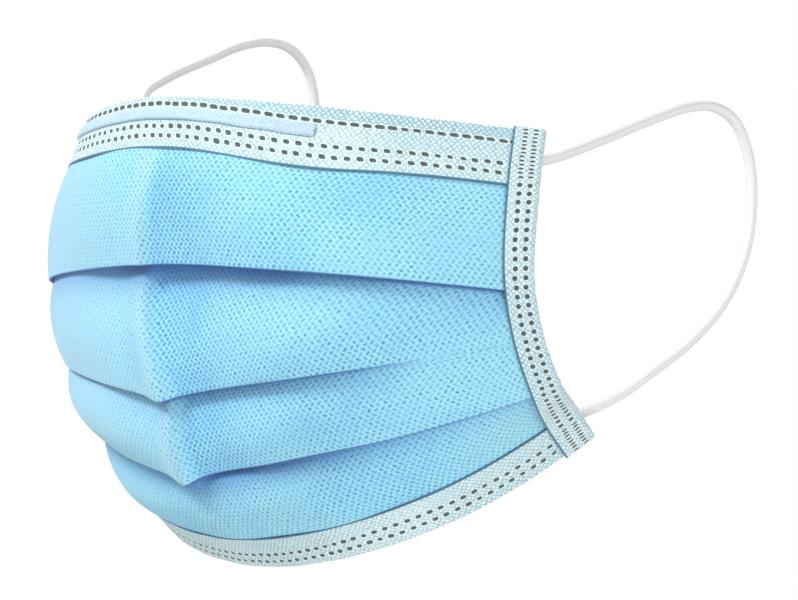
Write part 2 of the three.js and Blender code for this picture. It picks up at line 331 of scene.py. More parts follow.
    def place(self, share: Array, gap: Array, height: Array, depth: Array) -> Array:
        """Find points on the mask, or behind its outer face.

        The inward direction is the cross product of the steps across and down to near points.

        Args:
            share: from -1 at the right side edge, through 0 in the middle, to 1 at the left one.
            gap: the distance from the side edge at which the share is 1.
            height: the distance below the top edge, down the column.
            depth: the distance behind the outer face.

        Returns:
            Points in the part's frame, in millimetres, with one more axis than the arguments.
        """
        shape = np.broadcast(share, gap, height, depth).shape
        share, gap, height, depth = (
            np.broadcast_to(value, shape).ravel().astype(float)
            for value in (share, gap, height, depth)
        )
        side = np.where(share < 0, -1.0, 1.0)
        column = self.columns(np.abs(share), gap)
        outer = self.columns(np.abs(share), gap, -self.probe)
        inner = self.columns(np.abs(share), gap, self.probe)
        across = self.down_column(outer, height) - self.down_column(inner, height)
        below = self.down_column(column, height + self.probe)
        down = below - self.down_column(column, height - self.probe)
        inward = unit(np.cross(across, down))
        point = self.down_column(column, height) + inward * depth[:, None]
        point[:, 0] *= side
        return (point - self.seat).reshape(*shape, 3)

    def heights(self, share: Array, gap: Array) -> Array:
        """Give the heights of all rows below the top edge, on the columns at these shares."""
        share, gap = np.broadcast_arrays(np.asarray(share, float), np.asarray(gap, float))
        found = self.columns(np.abs(share).ravel(), gap.ravel())[1]
        return found.reshape(*share.shape, len(self.lengths))

    def top_band_edge(self, across: Array) -> Array:
        """Give the distance from the top edge to the top band's inner edge."""
        return lerp(self.top_band_middle, self.top_band_side, towards_side(across))

    def across(self, share: Array) -> Array:
        """Give the distance from the middle in millimetres, with its sign."""
        return share * self.lengths[0]


def offset_line(height: Array, depth: Array, amount: float) -> tuple[Array, Array]:
    """Offset plane lines sideways.

    Each point moves along the mean of its two neighbouring steps' normals, further at a corner.

    Args:
        height: the lines' first coordinate, a line in each row.
        depth: their second coordinate.
        amount: how far they move, to the back if positive.

    Returns:
        The two coordinates of the offset lines.
    """
    step = unit(np.stack([np.diff(height, axis=1), np.diff(depth, axis=1)], axis=2))
    into = np.concatenate([step[:, :1], step], axis=1)
    out = np.concatenate([step, step[:, -1:]], axis=1)
    mean = unit(into + out)
    stretch = 1 / np.maximum((mean * into).sum(axis=2), LEAST_COSINE)
    return height - mean[..., 1] * stretch * amount, depth + mean[..., 0] * stretch * amount


@dataclass(frozen=True)
class Waves:
    """Gentle waves in cloth, a sum of sines in random directions, in millimetres."""

    height: float
    shortest: float
    longest: float
    seed: int
    count: int = 6

    def relief(self, across: Array, down: Array) -> Array:
        """Give how far the cloth stands out, about the waves' height at most.

        Args:
            across: the distance across.
            down: the distance down.

        Returns:
            The distance outward at each place.
        """
        rng = np.random.default_rng(self.seed)
        total = np.zeros(np.broadcast(across, down).shape)
        for _ in range(self.count):
            angle = rng.uniform(0, 2 * math.pi)
            phase = rng.uniform(0, 2 * math.pi)
            number = 2 * math.pi / rng.uniform(self.shortest, self.longest)
            total += np.sin(number * (across * math.cos(angle) + down * math.sin(angle)) + phase)
        return self.height * (total / (2 * math.sqrt(self.count)))


def make_mesh(
    name: str, points: Array, faces: Array, values: dict[str, Array], second: Array | None = None
) -> bpy.types.Object:
    """Make a mesh object at the origin.

    Args:
        name: the piece's name.
        points: its points in millimetres.
        faces: its four-sided faces, as rows of point numbers.
        values: attributes by name, a number or three numbers for each point.
        second: which faces take the second material, or None.

    Returns:
        The object, smooth but for its sharp rims, with its faces pointing out.
    """
    corner = points[faces]
    volume = (corner[:, 0] * np.cross(corner[:, 1], corner[:, 2])).sum()
    volume += (corner[:, 0] * np.cross(corner[:, 2], corner[:, 3])).sum()
    if volume < 0:
        faces = faces[:, ::-1]
    mesh = bpy.data.meshes.new(name)
    mesh.from_pydata((points * MM).tolist(), [], faces.tolist())
    for key, value in values.items():
        kind, slot = ("FLOAT_VECTOR", "vector") if value.ndim == 2 else ("FLOAT", "value")
        attribute = mesh.attributes.new(key, kind, "POINT")
        attribute.data.foreach_set(slot, np.ascontiguousarray(value, np.float32).ravel())
    mesh.polygons.foreach_set("use_smooth", np.ones(len(faces), bool))
    if second is not None:
        mesh.polygons.foreach_set("material_index", second.astype(np.int32))
    mesh.set_sharp_from_angle(angle=math.radians(SHARP_ANGLE))
    mesh.update()
    piece = bpy.data.objects.new(name, mesh)
    bpy.context.scene.collection.objects.link(piece)
    return piece


def shell_faces(rows: int, columns: int) -> tuple[Array, int]:
    """Number the faces of a closed shell made of two grids of points, an outer and an inner one.

    The outer grid's faces come first, then the inner grid's, turned round, and then the rims
    that join the two grids along their four borders.

    Args:
        rows: the grids' first size.
        columns: the grids' second size.

    Returns:
        The faces, and how many of them each grid has.
    """
    number = np.arange(rows * columns).reshape(rows, columns)
    quads = np.stack([number[:-1, :-1], number[:-1, 1:], number[1:, 1:], number[1:, :-1]], axis=-1)
    outer = quads.reshape(-1, 4)
    inner = outer[:, ::-1] + rows * columns
    border = np.concatenate(
        [number[0, :], number[1:, -1], number[-1, -2::-1], number[-2:0:-1, 0]]
    )
    following = np.roll(border, -1)
    shift = rows * columns
    rim = np.stack([following, border, border + shift, following + shift], axis=1)
    return np.concatenate([outer, inner, rim]), len(outer)


def tube_faces(rings: int, around: int) -> Array:
    """Number the faces of a tube made of rings of points.

    The faces between the rings come first, and then strips of faces across the two end rings.

    Args:
        rings: how many rings it has.
        around: how many points each ring has.

    Returns:
        The faces.
    """
    number = np.arange(rings * around).reshape(rings, around)
    turned = np.roll(number, -1, axis=1)
    sides = np.stack([number[:-1], turned[:-1], turned[1:], number[1:]], axis=-1)
    half = around // 2
    caps = []
    for ring in (number[0], number[-1][::-1]):
        upper, lower = ring[: half + 1], np.roll(ring[::-1], 1)[: half + 1]
        caps.append(np.stack([upper[:-1], lower[:-1], lower[1:], upper[1:]], axis=1)[1:-1])
    return np.concatenate([sides.reshape(-1, 4), *caps])


def add_node(
    tree: bpy.types.NodeTree, kind: str, inputs: dict | None = None, **settings
) -> bpy.types.Node:
    """Add a node with its settings, and set or link its inputs.

    Args:
        tree: the node tree.
        kind: the node's type.
        inputs: a value or another node's output for each input, by name or number.
        settings: the node's own properties.

    Returns:
        The node.
    """
    node = tree.nodes.new(kind)
    for key, value in settings.items():
        setattr(node, key, value)
    for key, value in (inputs or {}).items():
        if isinstance(value, bpy.types.NodeSocket):
            tree.links.new(value, node.inputs[key])
        else:
            node.inputs[key].default_value = value
    return node


def empty_tree(block: bpy.types.Material | bpy.types.World) -> bpy.types.NodeTree:
    """Give a new material or world an empty node tree."""
    block.use_nodes = True
    block.node_tree.nodes.clear()
    return block.node_tree


def linear(hex_colour: str) -> tuple[float, float, float, float]:
    """Turn an sRGB hex colour into linear red, green, blue and an alpha of 1."""
    srgb = [int(hex_colour[k : k + 2], 16) / 255 for k in (1, 3, 5)]
    red, green, blue = (c / 12.92 if c <= 0.04045 else ((c + 0.055) / 1.055) ** 2.4 for c in srgb)
    return red, green, blue, 1.0


@dataclass(frozen=True)
class Emboss:
    """The bond points that a heated roller presses into spunbond cloth, in millimetres.

    Rows of short dashes slant to the left and to the right in turn, and each row is shifted by
    half a pitch.
    """

    across_pitch: float = 1.58
    down_pitch: float = 1.02
    dash_length: float = 0.36
    dash_width: float = 0.19
    slant: float = 40
    wander: float = 0.8
    wander_scale: float = 0.7
    crossed: bool = False

    def build(
        self, tree: bpy.types.NodeTree, coordinates: bpy.types.NodeSocket
    ) -> bpy.types.NodeSocket:
        """Add the nodes of the pattern, warped a little by noise.

        Args:
            tree: the material's node tree.
            coordinates: the place on the cloth in millimetres.

        Returns:
            The distance from the nearest mark, 1 at its rim and less inside it.
        """
        noise = add_node(
            tree,
            "ShaderNodeTexNoise",
            {"Vector": coordinates, "Scale": self.wander_scale, "Detail": 2.0},
        )
        centred = add_node(
            tree,
            "ShaderNodeVectorMath",
            {0: noise.outputs["Color"], 1: (0.5, 0.5, 0.5)},
            operation="SUBTRACT",
        )
        moved = add_node(
            tree,
            "ShaderNodeVectorMath",
            {0: centred.outputs[0], 1: (self.wander,) * 3, 2: coordinates},
            operation="MULTIPLY_ADD",
        )
        draw = self.cross if self.crossed else self.dashes
        return draw(tree, moved.outputs[0])

    def dashes(
        self, tree: bpy.types.NodeTree, place: bpy.types.NodeSocket
    ) -> bpy.types.NodeSocket:
        """Add the nodes of rows of short dashes.

        The place is split into cells, one for each dash. A dash is an ellipse, and its cell's
        offset is mirrored in every second row, turned by the slant and divided by its half sizes.

        Args:
            tree: the material's node tree.
            place: the place on the cloth in millimetres, already warped.

        Returns:
            The distance from the nearest dash, 1 at its rim and less inside it.
        """
        cells = add_node(
            tree,
            "ShaderNodeVectorMath",
            {0: place, 1: (self.across_pitch, self.down_pitch, 1.0)},
            operation="DIVIDE",
        )
        split = add_node(tree, "ShaderNodeSeparateXYZ", {0: cells.outputs[0]})
        row = add_node(tree, "ShaderNodeMath", {0: split.outputs["Y"]}, operation="FLOOR")
        odd = add_node(tree, "ShaderNodeMath", {0: row.outputs[0], 1: 1.0}, operation="PINGPONG")
        shifted = add_node(
            tree,
            "ShaderNodeMath",
            {0: odd.outputs[0], 1: 0.5, 2: split.outputs["X"]},
            operation="MULTIPLY_ADD",
        )
        offsets = []
        directions = (
            (shifted.outputs[0], self.across_pitch),
            (split.outputs["Y"], self.down_pitch),
        )
        for cell, pitch in directions:
            share = add_node(tree, "ShaderNodeMath", {0: cell}, operation="FRACT")
            offset = add_node(
                tree,
                "ShaderNodeMath",
                {0: share.outputs[0], 1: pitch, 2: -pitch / 2},
                operation="MULTIPLY_ADD",
            )
            offsets.append(offset.outputs[0])
        sign = add_node(
            tree, "ShaderNodeMath", {0: odd.outputs[0], 1: -2.0, 2: 1.0}, operation="MULTIPLY_ADD"
        )
        mirrored = add_node(
            tree, "ShaderNodeMath", {0: offsets[1], 1: sign.outputs[0]}, operation="MULTIPLY"
        )
        joined = add_node(
            tree, "ShaderNodeCombineXYZ", {"X": offsets[0], "Y": mirrored.outputs[0]}
        )
        turned = add_node(
            tree,
            "ShaderNodeVectorRotate",
            {"Vector": joined.outputs[0], "Angle": math.radians(self.slant)},
            rotation_type="Z_AXIS",
        )
        scaled = add_node(
            tree,
            "ShaderNodeVectorMath",
            {0: turned.outputs[0], 1: (self.dash_length, self.dash_width, 1.0)},
            operation="DIVIDE",
        )
        dash = add_node(tree, "ShaderNodeVectorMath", {0: scaled.outputs[0]}, operation="LENGTH")
        return dash.outputs["Value"]

    def cross(
        self, tree: bpy.types.NodeTree, place: bpy.types.NodeSocket
    ) -> bpy.types.NodeSocket:
        """Add the nodes of crossing slanted strokes, which make a net of small diamonds.

        The strokes of each direction are the lines where the place across plus or minus the
        place down is a whole number of pitches.

        Args:
            tree: the material's node tree.
            place: the place on the cloth in millimetres, already warped.

        Returns:
            The distance from the nearest stroke, 1 at its rim and less inside it.
        """
        split = add_node(tree, "ShaderNodeSeparateXYZ", {0: place})
        strokes = []
        for operation in ("ADD", "SUBTRACT"):
            diagonal = add_node(
                tree,
                "ShaderNodeMath",
                {0: split.outputs["X"], 1: split.outputs["Y"]},
                operation=operation,
            )
            away = add_node(
                tree,
                "ShaderNodeMath",
                {0: diagonal.outputs[0], 1: self.across_pitch / 2},
                operation="PINGPONG",
            )
            scaled = add_node(
                tree, "ShaderNodeMath", {0: away.outputs[0], 1: self.dash_width}, operation="DIVIDE"
            )
            strokes.append(scaled.outputs[0])
        nearest = add_node(
            tree, "ShaderNodeMath", {0: strokes[0], 1: strokes[1]}, operation="MINIMUM"
        )
        return nearest.outputs[0]


@dataclass(frozen=True)
class Mottle:
    """Noise that makes a look stronger here and weaker there.

    The scale is in waves for each millimetre. The noise's values from low to high become a
    share from least to 1.
    """

    scale: float
    detail: float
    low: float
    high: float
    least: float = 0.0
    blend: str = "LINEAR"

    def build(
        self, tree: bpy.types.NodeTree, place: bpy.types.NodeSocket
    ) -> bpy.types.NodeSocket:
        """Add the nodes of the mottle.

        Args:
            tree: the material's node tree.
            place: the place on the cloth in millimetres.

        Returns:
            The share at each place.
        """
        noise = add_node(
            tree,
            "ShaderNodeTexNoise",
            {"Vector": place, "Scale": self.scale, "Detail": self.detail},
        )
        share = add_node(
            tree,
            "ShaderNodeMapRange",
            {
                "Value": noise.outputs["Fac"],
                "From Min": self.low,
                "From Max": self.high,
                "To Min": self.least,
            },
            interpolation_type=self.blend,
        )
        return share.outputs[0]


@dataclass(frozen=True)
class SpunbondFinish:
    """Spunbond polypropylene cloth: matt, faintly fibrous, with pressed bond points.

    The emboss is faint at the distance faint_from across the cloth, and full from faint_to on.
    dash_rim and crown_rim say where a dash ends and the raised cloth begins, as distances from
    the dash whose rim is at 1.
    """

    name: str
    cloth: str
    bond: str
    # raised: the lighter cloth between the bond points, partly its own colour and partly a painted
    # highlight
    raised: str
    # deep: random tone and painted shade; pale: painted light and highlight
    deep: str
    # fold: the painted shade inside the pleats and under their folds
    fold: str
    pale: str
    bond_share: float
    raised_share: float
    relief: float = 0.07
    roughness: float = 0.82
    sheen: float = 0.28
    faint_from: float = -200
    faint_to: float = -190
    faintest: float = 0.35
    dash_rim: tuple[float, float] = (0.55, 1.35)
    crown_rim: tuple[float, float] = (1.5, 2.6)
    broad_share: float = 0.5
    fibre_scale: float = 2.6
    fibre_share: float = 0.35
    specular: float = 0.3
    emboss: Emboss = Emboss()
    patches: Mottle = Mottle(0.12, 3.0, 0.3, 0.7, 0.55)
    uneven: Mottle = Mottle(0.8, 1.0, 0.36, 0.62, 0.15)
    broad: Mottle = Mottle(0.026, 1.0, 0.38, 0.62, blend="SMOOTHSTEP")

    def build(self) -> bpy.types.Material:
        """Make the material.

        The dashes of the emboss are darker and lower, the cloth between them is lighter, partly its
        own colour and partly a painted highlight, and noise a few millimetres wide makes the emboss
        stronger here and weaker there.

        Returns:
            The material.
        """
        material = bpy.data.materials.new(self.name)
        tree = empty_tree(material)
        place = add_node(tree, "ShaderNodeAttribute", attribute_name=CLOTH_MM).outputs["Vector"]
        distance = self.emboss.build(tree, place)
        across = add_node(tree, "ShaderNodeSeparateXYZ", {0: place}).outputs["X"]
        pressed = add_node(
            tree,
            "ShaderNodeMapRange",
            {
                "Value": across,
                "From Min": self.faint_from,
                "From Max": self.faint_to,
                "To Min": self.faintest,
            },
            interpolation_type="SMOOTHSTEP",
        )
        strength = add_node(
            tree,
            "ShaderNodeMath",
            {0: self.patches.build(tree, place), 1: pressed.outputs[0]},
            operation="MULTIPLY",
        ).outputs[0]
        single = add_node(
            tree,
            "ShaderNodeMath",
            {0: strength, 1: self.uneven.build(tree, place)},
            operation="MULTIPLY",
        ).outputs[0]
        reliefs = []
        rims = ((self.dash_rim, (1.0, 0.0), single), (self.crown_rim, (0.0, 1.0), strength))
        for (near, far), (here, beyond), amount in rims:
            mark = add_node(
                tree,
                "ShaderNodeMapRange",
                {
                    "Value": distance,
                    "From Min": near,
                    "From Max": far,
                    "To Min": here,
                    "To Max": beyond,
                },
                interpolation_type="SMOOTHSTEP",
            )
            varied = add_node(
                tree, "ShaderNodeMath", {0: mark.outputs[0], 1: amount}, operation="MULTIPLY"
            )
            reliefs.append(varied.outputs[0])
        dark, light = reliefs
        # Painted light and shade: the tone attribute mixes towards the deep colour for shade and
        # towards the pale colour for light; the broad noise adds random tone towards the deep
        # colour.
        tone_and_light = add_node(tree, "ShaderNodeAttribute", attribute_name=TONE_AND_PAINTED_LIGHT).outputs["Fac"]
        tones = (
            (
                {0: self.broad.build(tree, place), 1: self.broad_share, 2: tone_and_light},
                "MULTIPLY_ADD",
            ),
            ({0: tone_and_light, 1: -1.0}, "MULTIPLY"),
            # the raised cloth between the dashes: partly its own colour, partly a painted highlight
            ({0: light, 1: self.raised_share}, "MULTIPLY"),
            ({0: dark, 1: self.bond_share}, "MULTIPLY"),
        )
        colour = linear(self.cloth)
        for (inputs, operation), tint in zip(tones, (self.deep, self.pale, self.raised, self.bond)):
            share = add_node(tree, "ShaderNodeMath", inputs, operation=operation, use_clamp=True)
            colour = add_node(
                tree,
                "ShaderNodeMix",
                {"Factor": share.outputs[0], 6: colour, 7: linear(tint)},
                data_type="RGBA",
            ).outputs[2]
        fibres = add_node(
            tree,
            "ShaderNodeTexNoise",
            {"Vector": place, "Scale": self.fibre_scale, "Detail": 3.0, "Roughness": 0.7},
        )
        relief = add_node(
            tree,
            "ShaderNodeMath",
            {0: fibres.outputs["Fac"], 1: self.fibre_share, 2: light},
            operation="MULTIPLY_ADD",
        )
        height = add_node(
            tree, "ShaderNodeMath", {0: relief.outputs[0], 1: dark}, operation="SUBTRACT"
        )
        bump = add_node(
            tree,
            "ShaderNodeBump",
            {"Height": height.outputs[0], "Strength": 1.0, "Distance": self.relief * MM},
        )
        shader = add_node(
            tree,
            "ShaderNodeBsdfPrincipled",
            {
                "Base Color": self.finished(tree, colour),
                "Roughness": self.roughness,
                "Sheen Weight": self.sheen,
                "Specular IOR Level": self.specular,
                "Normal": bump.outputs[0],
            },
        )
        add_node(tree, "ShaderNodeOutputMaterial", {"Surface": shader.outputs[0]})
        return material

    def finished(
        self, tree: bpy.types.NodeTree, colour: bpy.types.NodeSocket
    ) -> bpy.types.NodeSocket:
        """Mix in the painted fold shade: a darker blue inside the pleats and under each fold's
        edge.
        """
        inside = add_node(tree, "ShaderNodeAttribute", attribute_name=PAINTED_FOLD_SHADE)
        return add_node(
            tree,
            "ShaderNodeMix",
            {"Factor": inside.outputs["Fac"], 6: colour, 7: linear(self.fold)},
            data_type="RGBA",
        ).outputs[2]


@dataclass(frozen=True)
class WeldedFinish(SpunbondFinish):
    """Spunbond strip with ultrasonic welds, pressed to a darker film, and a painted shadow line
    along its cut edge.
    """

    weld: str = "#516566"
    # the painted shadow line along the cut edge, where the band overlaps the cloth
    edge_shadow: str = "#4D7F9A"
    smooth: str = "#BFDAEA"

    def finished(
        self, tree: bpy.types.NodeTree, colour: bpy.types.NodeSocket
    ) -> bpy.types.NodeSocket:
        """Add the smooth strip over the wire, the painted shadow line along the cut edge, the welds
        and the lighter ring round them to the colour.

        Args:
            tree: the material's node tree.
            colour: the embossed cloth's colour.

        Returns:
            The colour with its marks.
        """
        # each mark's attribute, its colour, where it begins and is full, and its strength
        marks = (
            (PLAIN, self.smooth, 0.0, 1.0, 0.85),
            # the painted shadow line along the inner edges
            (EDGE_SHADE_AND_PRESSED_LINE, self.edge_shadow, 0.3, 0.7, 1.0),
            # a lighter ring in the raised colour round each weld, partly its own colour and partly
            # a painted highlight
            (WELD, self.raised, 0.0, 0.4, 0.8),
            (WELD, self.weld, 0.38, 0.62, 1.0),
        )
        for attribute, mark, low, high, strength in marks:
            amount = add_node(tree, "ShaderNodeAttribute", attribute_name=attribute)
            share = add_node(
                tree,
                "ShaderNodeMapRange",
                {
                    "Value": amount.outputs["Fac"],
                    "From Min": low,
                    "From Max": high,
                    "To Max": strength,
                },
                interpolation_type="SMOOTHSTEP",
            )
            colour = add_node(
                tree,
                "ShaderNodeMix",
                {"Factor": share.outputs[0], 6: colour, 7: linear(mark)},
                data_type="RGBA",
            ).outputs[2]
        return colour


@dataclass(frozen=True)
class ElasticFinish:
    """Knitted elastic cord of textured nylon: white, matt and slightly fuzzy."""

    name: str = "knitted_nylon_elastic"
    yarn: str = "#F9F9F9"
    # gap: the painted shade in the grooves between the loops of yarn
    gap: str = "#DCDCDD"
    fuzz_scale: float = 3.5
    fuzz_height: float = 0.06
    roughness: float = 0.85
    sheen: float = 0.25
    specular: float = 0.25

    def build(self) -> bpy.types.Material:
        """Make the material, whose grooves between the loops of yarn are greyer, a painted shade.

        Returns:
            The material.
        """
        material = bpy.data.materials.new(self.name)
        tree = empty_tree(material)
        groove_shade = add_node(tree, "ShaderNodeAttribute", attribute_name=GROOVE_SHADE).outputs["Fac"]
        place = add_node(tree, "ShaderNodeAttribute", attribute_name=CLOTH_MM).outputs["Vector"]
        fuzz = add_node(
            tree,
            "ShaderNodeTexNoise",
            {"Vector": place, "Scale": self.fuzz_scale, "Detail": 3.0},
        )
        colour = add_node(
            tree,
            "ShaderNodeMix",
            {"Factor": groove_shade, 6: linear(self.yarn), 7: linear(self.gap)},
            data_type="RGBA",
        )
        bump = add_node(
            tree,
            "ShaderNodeBump",
            {"Height": fuzz.outputs["Fac"], "Strength": 1.0, "Distance": self.fuzz_height * MM},
        )
        shader = add_node(
            tree,
            "ShaderNodeBsdfPrincipled",
            {
                "Base Color": colour.outputs[2],
                "Roughness": self.roughness,
                "Sheen Weight": self.sheen,
                "Specular IOR Level": self.specular,
                "Normal": bump.outputs[0],
            },
        )
        add_node(tree, "ShaderNodeOutputMaterial", {"Surface": shader.outputs[0]})
        return material


@dataclass(frozen=True)
class CoatedWireFinish:
    """Soft steel wire in extruded white polyethylene: smooth and faintly waxy."""

    name: str = "extruded_polyethylene"
    coat: str = "#E6EEF2"
    line_scale: tuple[float, float, float] = (0.05, 6.0, 1.0)
    line_height: float = 0.02
    roughness: float = 0.45

    def build(self) -> bpy.types.Material:
        """Make the material, with faint draw lines along the strip.

        Returns:
            The material.
        """
        material = bpy.data.materials.new(self.name)
        tree = empty_tree(material)
        place = add_node(tree, "ShaderNodeAttribute", attribute_name=CLOTH_MM).outputs["Vector"]
        stretched = add_node(
            tree, "ShaderNodeVectorMath", {0: place, 1: self.line_scale}, operation="MULTIPLY"
        )
        lines = add_node(tree, "ShaderNodeTexNoise", {"Vector": stretched.outputs[0], "Scale": 1.0})
        bump = add_node(
            tree,
            "ShaderNodeBump",
            {"Height": lines.outputs["Fac"], "Strength": 1.0, "Distance": self.line_height * MM},
        )
        shader = add_node(
            tree,
            "ShaderNodeBsdfPrincipled",
            {
                "Base Color": linear(self.coat),
                "Roughness": self.roughness,
                "Normal": bump.outputs[0],
            },
        )
        add_node(tree, "ShaderNodeOutputMaterial", {"Surface": shader.outputs[0]})
        return material


@dataclass(frozen=True)
class Finishes:
    """All finishes of the mask."""

    outer: SpunbondFinish = SpunbondFinish(
        name="blue_spunbond",
        cloth="#93D6F2",
        bond="#2C7AA8",
        raised="#B2F0F6",
        # deep and pale also carry the painted shade and painted light of the tone attribute
        deep="#6DBAEC",
        # fold is the painted shade inside the pleats and under their folds
        fold="#3A6FB8",
        pale="#A8D2EC",
        bond_share=0.95,
        raised_share=0.8,
        faint_from=-38,
        faint_to=12,
    )
    inner: SpunbondFinish = SpunbondFinish(
        name="white_spunbond",
        cloth="#EEF3F5",
        bond="#C5D3DA",
        raised="#FAFCFD",
        deep="#E6EDF0",
        fold="#D5DEE3",
        pale="#F4F8FA",
        bond_share=0.6,
        raised_share=0.6,
    )
    band: WeldedFinish = WeldedFinish(
        name="welded_pale_spunbond",
        cloth="#CDE9EE",
        bond="#86B2BD",
        raised="#F2FFFE",
        deep="#A0CADC",
        fold="#A9CBD3",
        pale="#E2F2F4",
        bond_share=0.85,
        raised_share=0.85,
        emboss=Emboss(across_pitch=1.36, dash_width=0.125, wander=1.1, crossed=True),
    )
    elastic: ElasticFinish = ElasticFinish()
    wire: CoatedWireFinish = CoatedWireFinish()


@dataclass
class CentreCrease:
    """The upright crease down the middle of the lower panels, in millimetres.

    It stands out as a ridge, steep on its left side, and the cloth beside it lies in a hollow.
    """

    ridge: float = 2.0
    right_reach: float = 6.0
    left_reach: float = 1.6
    hollow: float = 2.3
    hollow_reach: float = 11.0
    top_place: float = 5.5
    first_place: float = -1.5
    second_place: float = 1.2
    third_place: float = 0.5
    bow: float = 2.5
    upper_share: float = 0.5
    upper_rise: tuple[float, float] = (0.1, 0.8)
    fold_rise: tuple[float, float] = (-0.02, 0.12)

    def relief(self, across: Array) -> Array:
        """Give how far the cloth stands out, a bell curve with a hollow of t e to the 1 - t.

        Args:
            across: the distance from the ridge, positive towards the wearer's left.

        Returns:
            The distance outward.
        """
        reach = np.where(across < 0, self.right_reach, self.left_reach)
        bell = self.ridge * np.exp(-((across / reach) ** 2))
        t = np.maximum(across, 0) / self.hollow_reach
        return bell - self.hollow * t * np.exp(1 - t)

    def place(self, first: Array, second: Array, third: Array) -> Array:
        """Give where the ridge runs.

        It slants across the first and third panels, and bows to the right by
        sin(pi t) (1 - t) on the second one.

        Args:
            first: the share of the way down the first panel.
            second: the share of the way down the second panel.
            third: the share of the way down the third panel.

        Returns:
            The ridge's distance from the middle.
        """
        upper = lerp(self.top_place, self.first_place, np.clip(first, 0, 1))
        t = np.clip(second, 0, 1)
        middle = lerp(self.first_place, self.second_place, t)
        middle = middle - self.bow * np.sin(math.pi * t) * (1 - t)
        lower = lerp(self.second_place, self.third_place, np.clip(third, 0, 1))
        return np.where(third > 0, lower, np.where(second > 0, middle, upper))


    def share(self, height: Array, column: list[Array]) -> Array:
        """Give how much of the crease a height takes: little above the first fold, all below.

        Args:
            height: the distance below the top edge.
            column: the heights of the form's rows.

        Returns:
            The share of the crease, from 0 to 1.
        """
        upper, middle, lower = (
            (height - column[k]) / (column[k + 1] - column[k]) for k in (1, 2, 4)
        )
        before = self.upper_share * smoothstep(upper, *self.upper_rise)
        begin = smoothstep(middle, *self.fold_rise)
        finish = 1 - smoothstep(lower, *self.fold_rise)
        return lerp(before, 1.0, begin) * finish


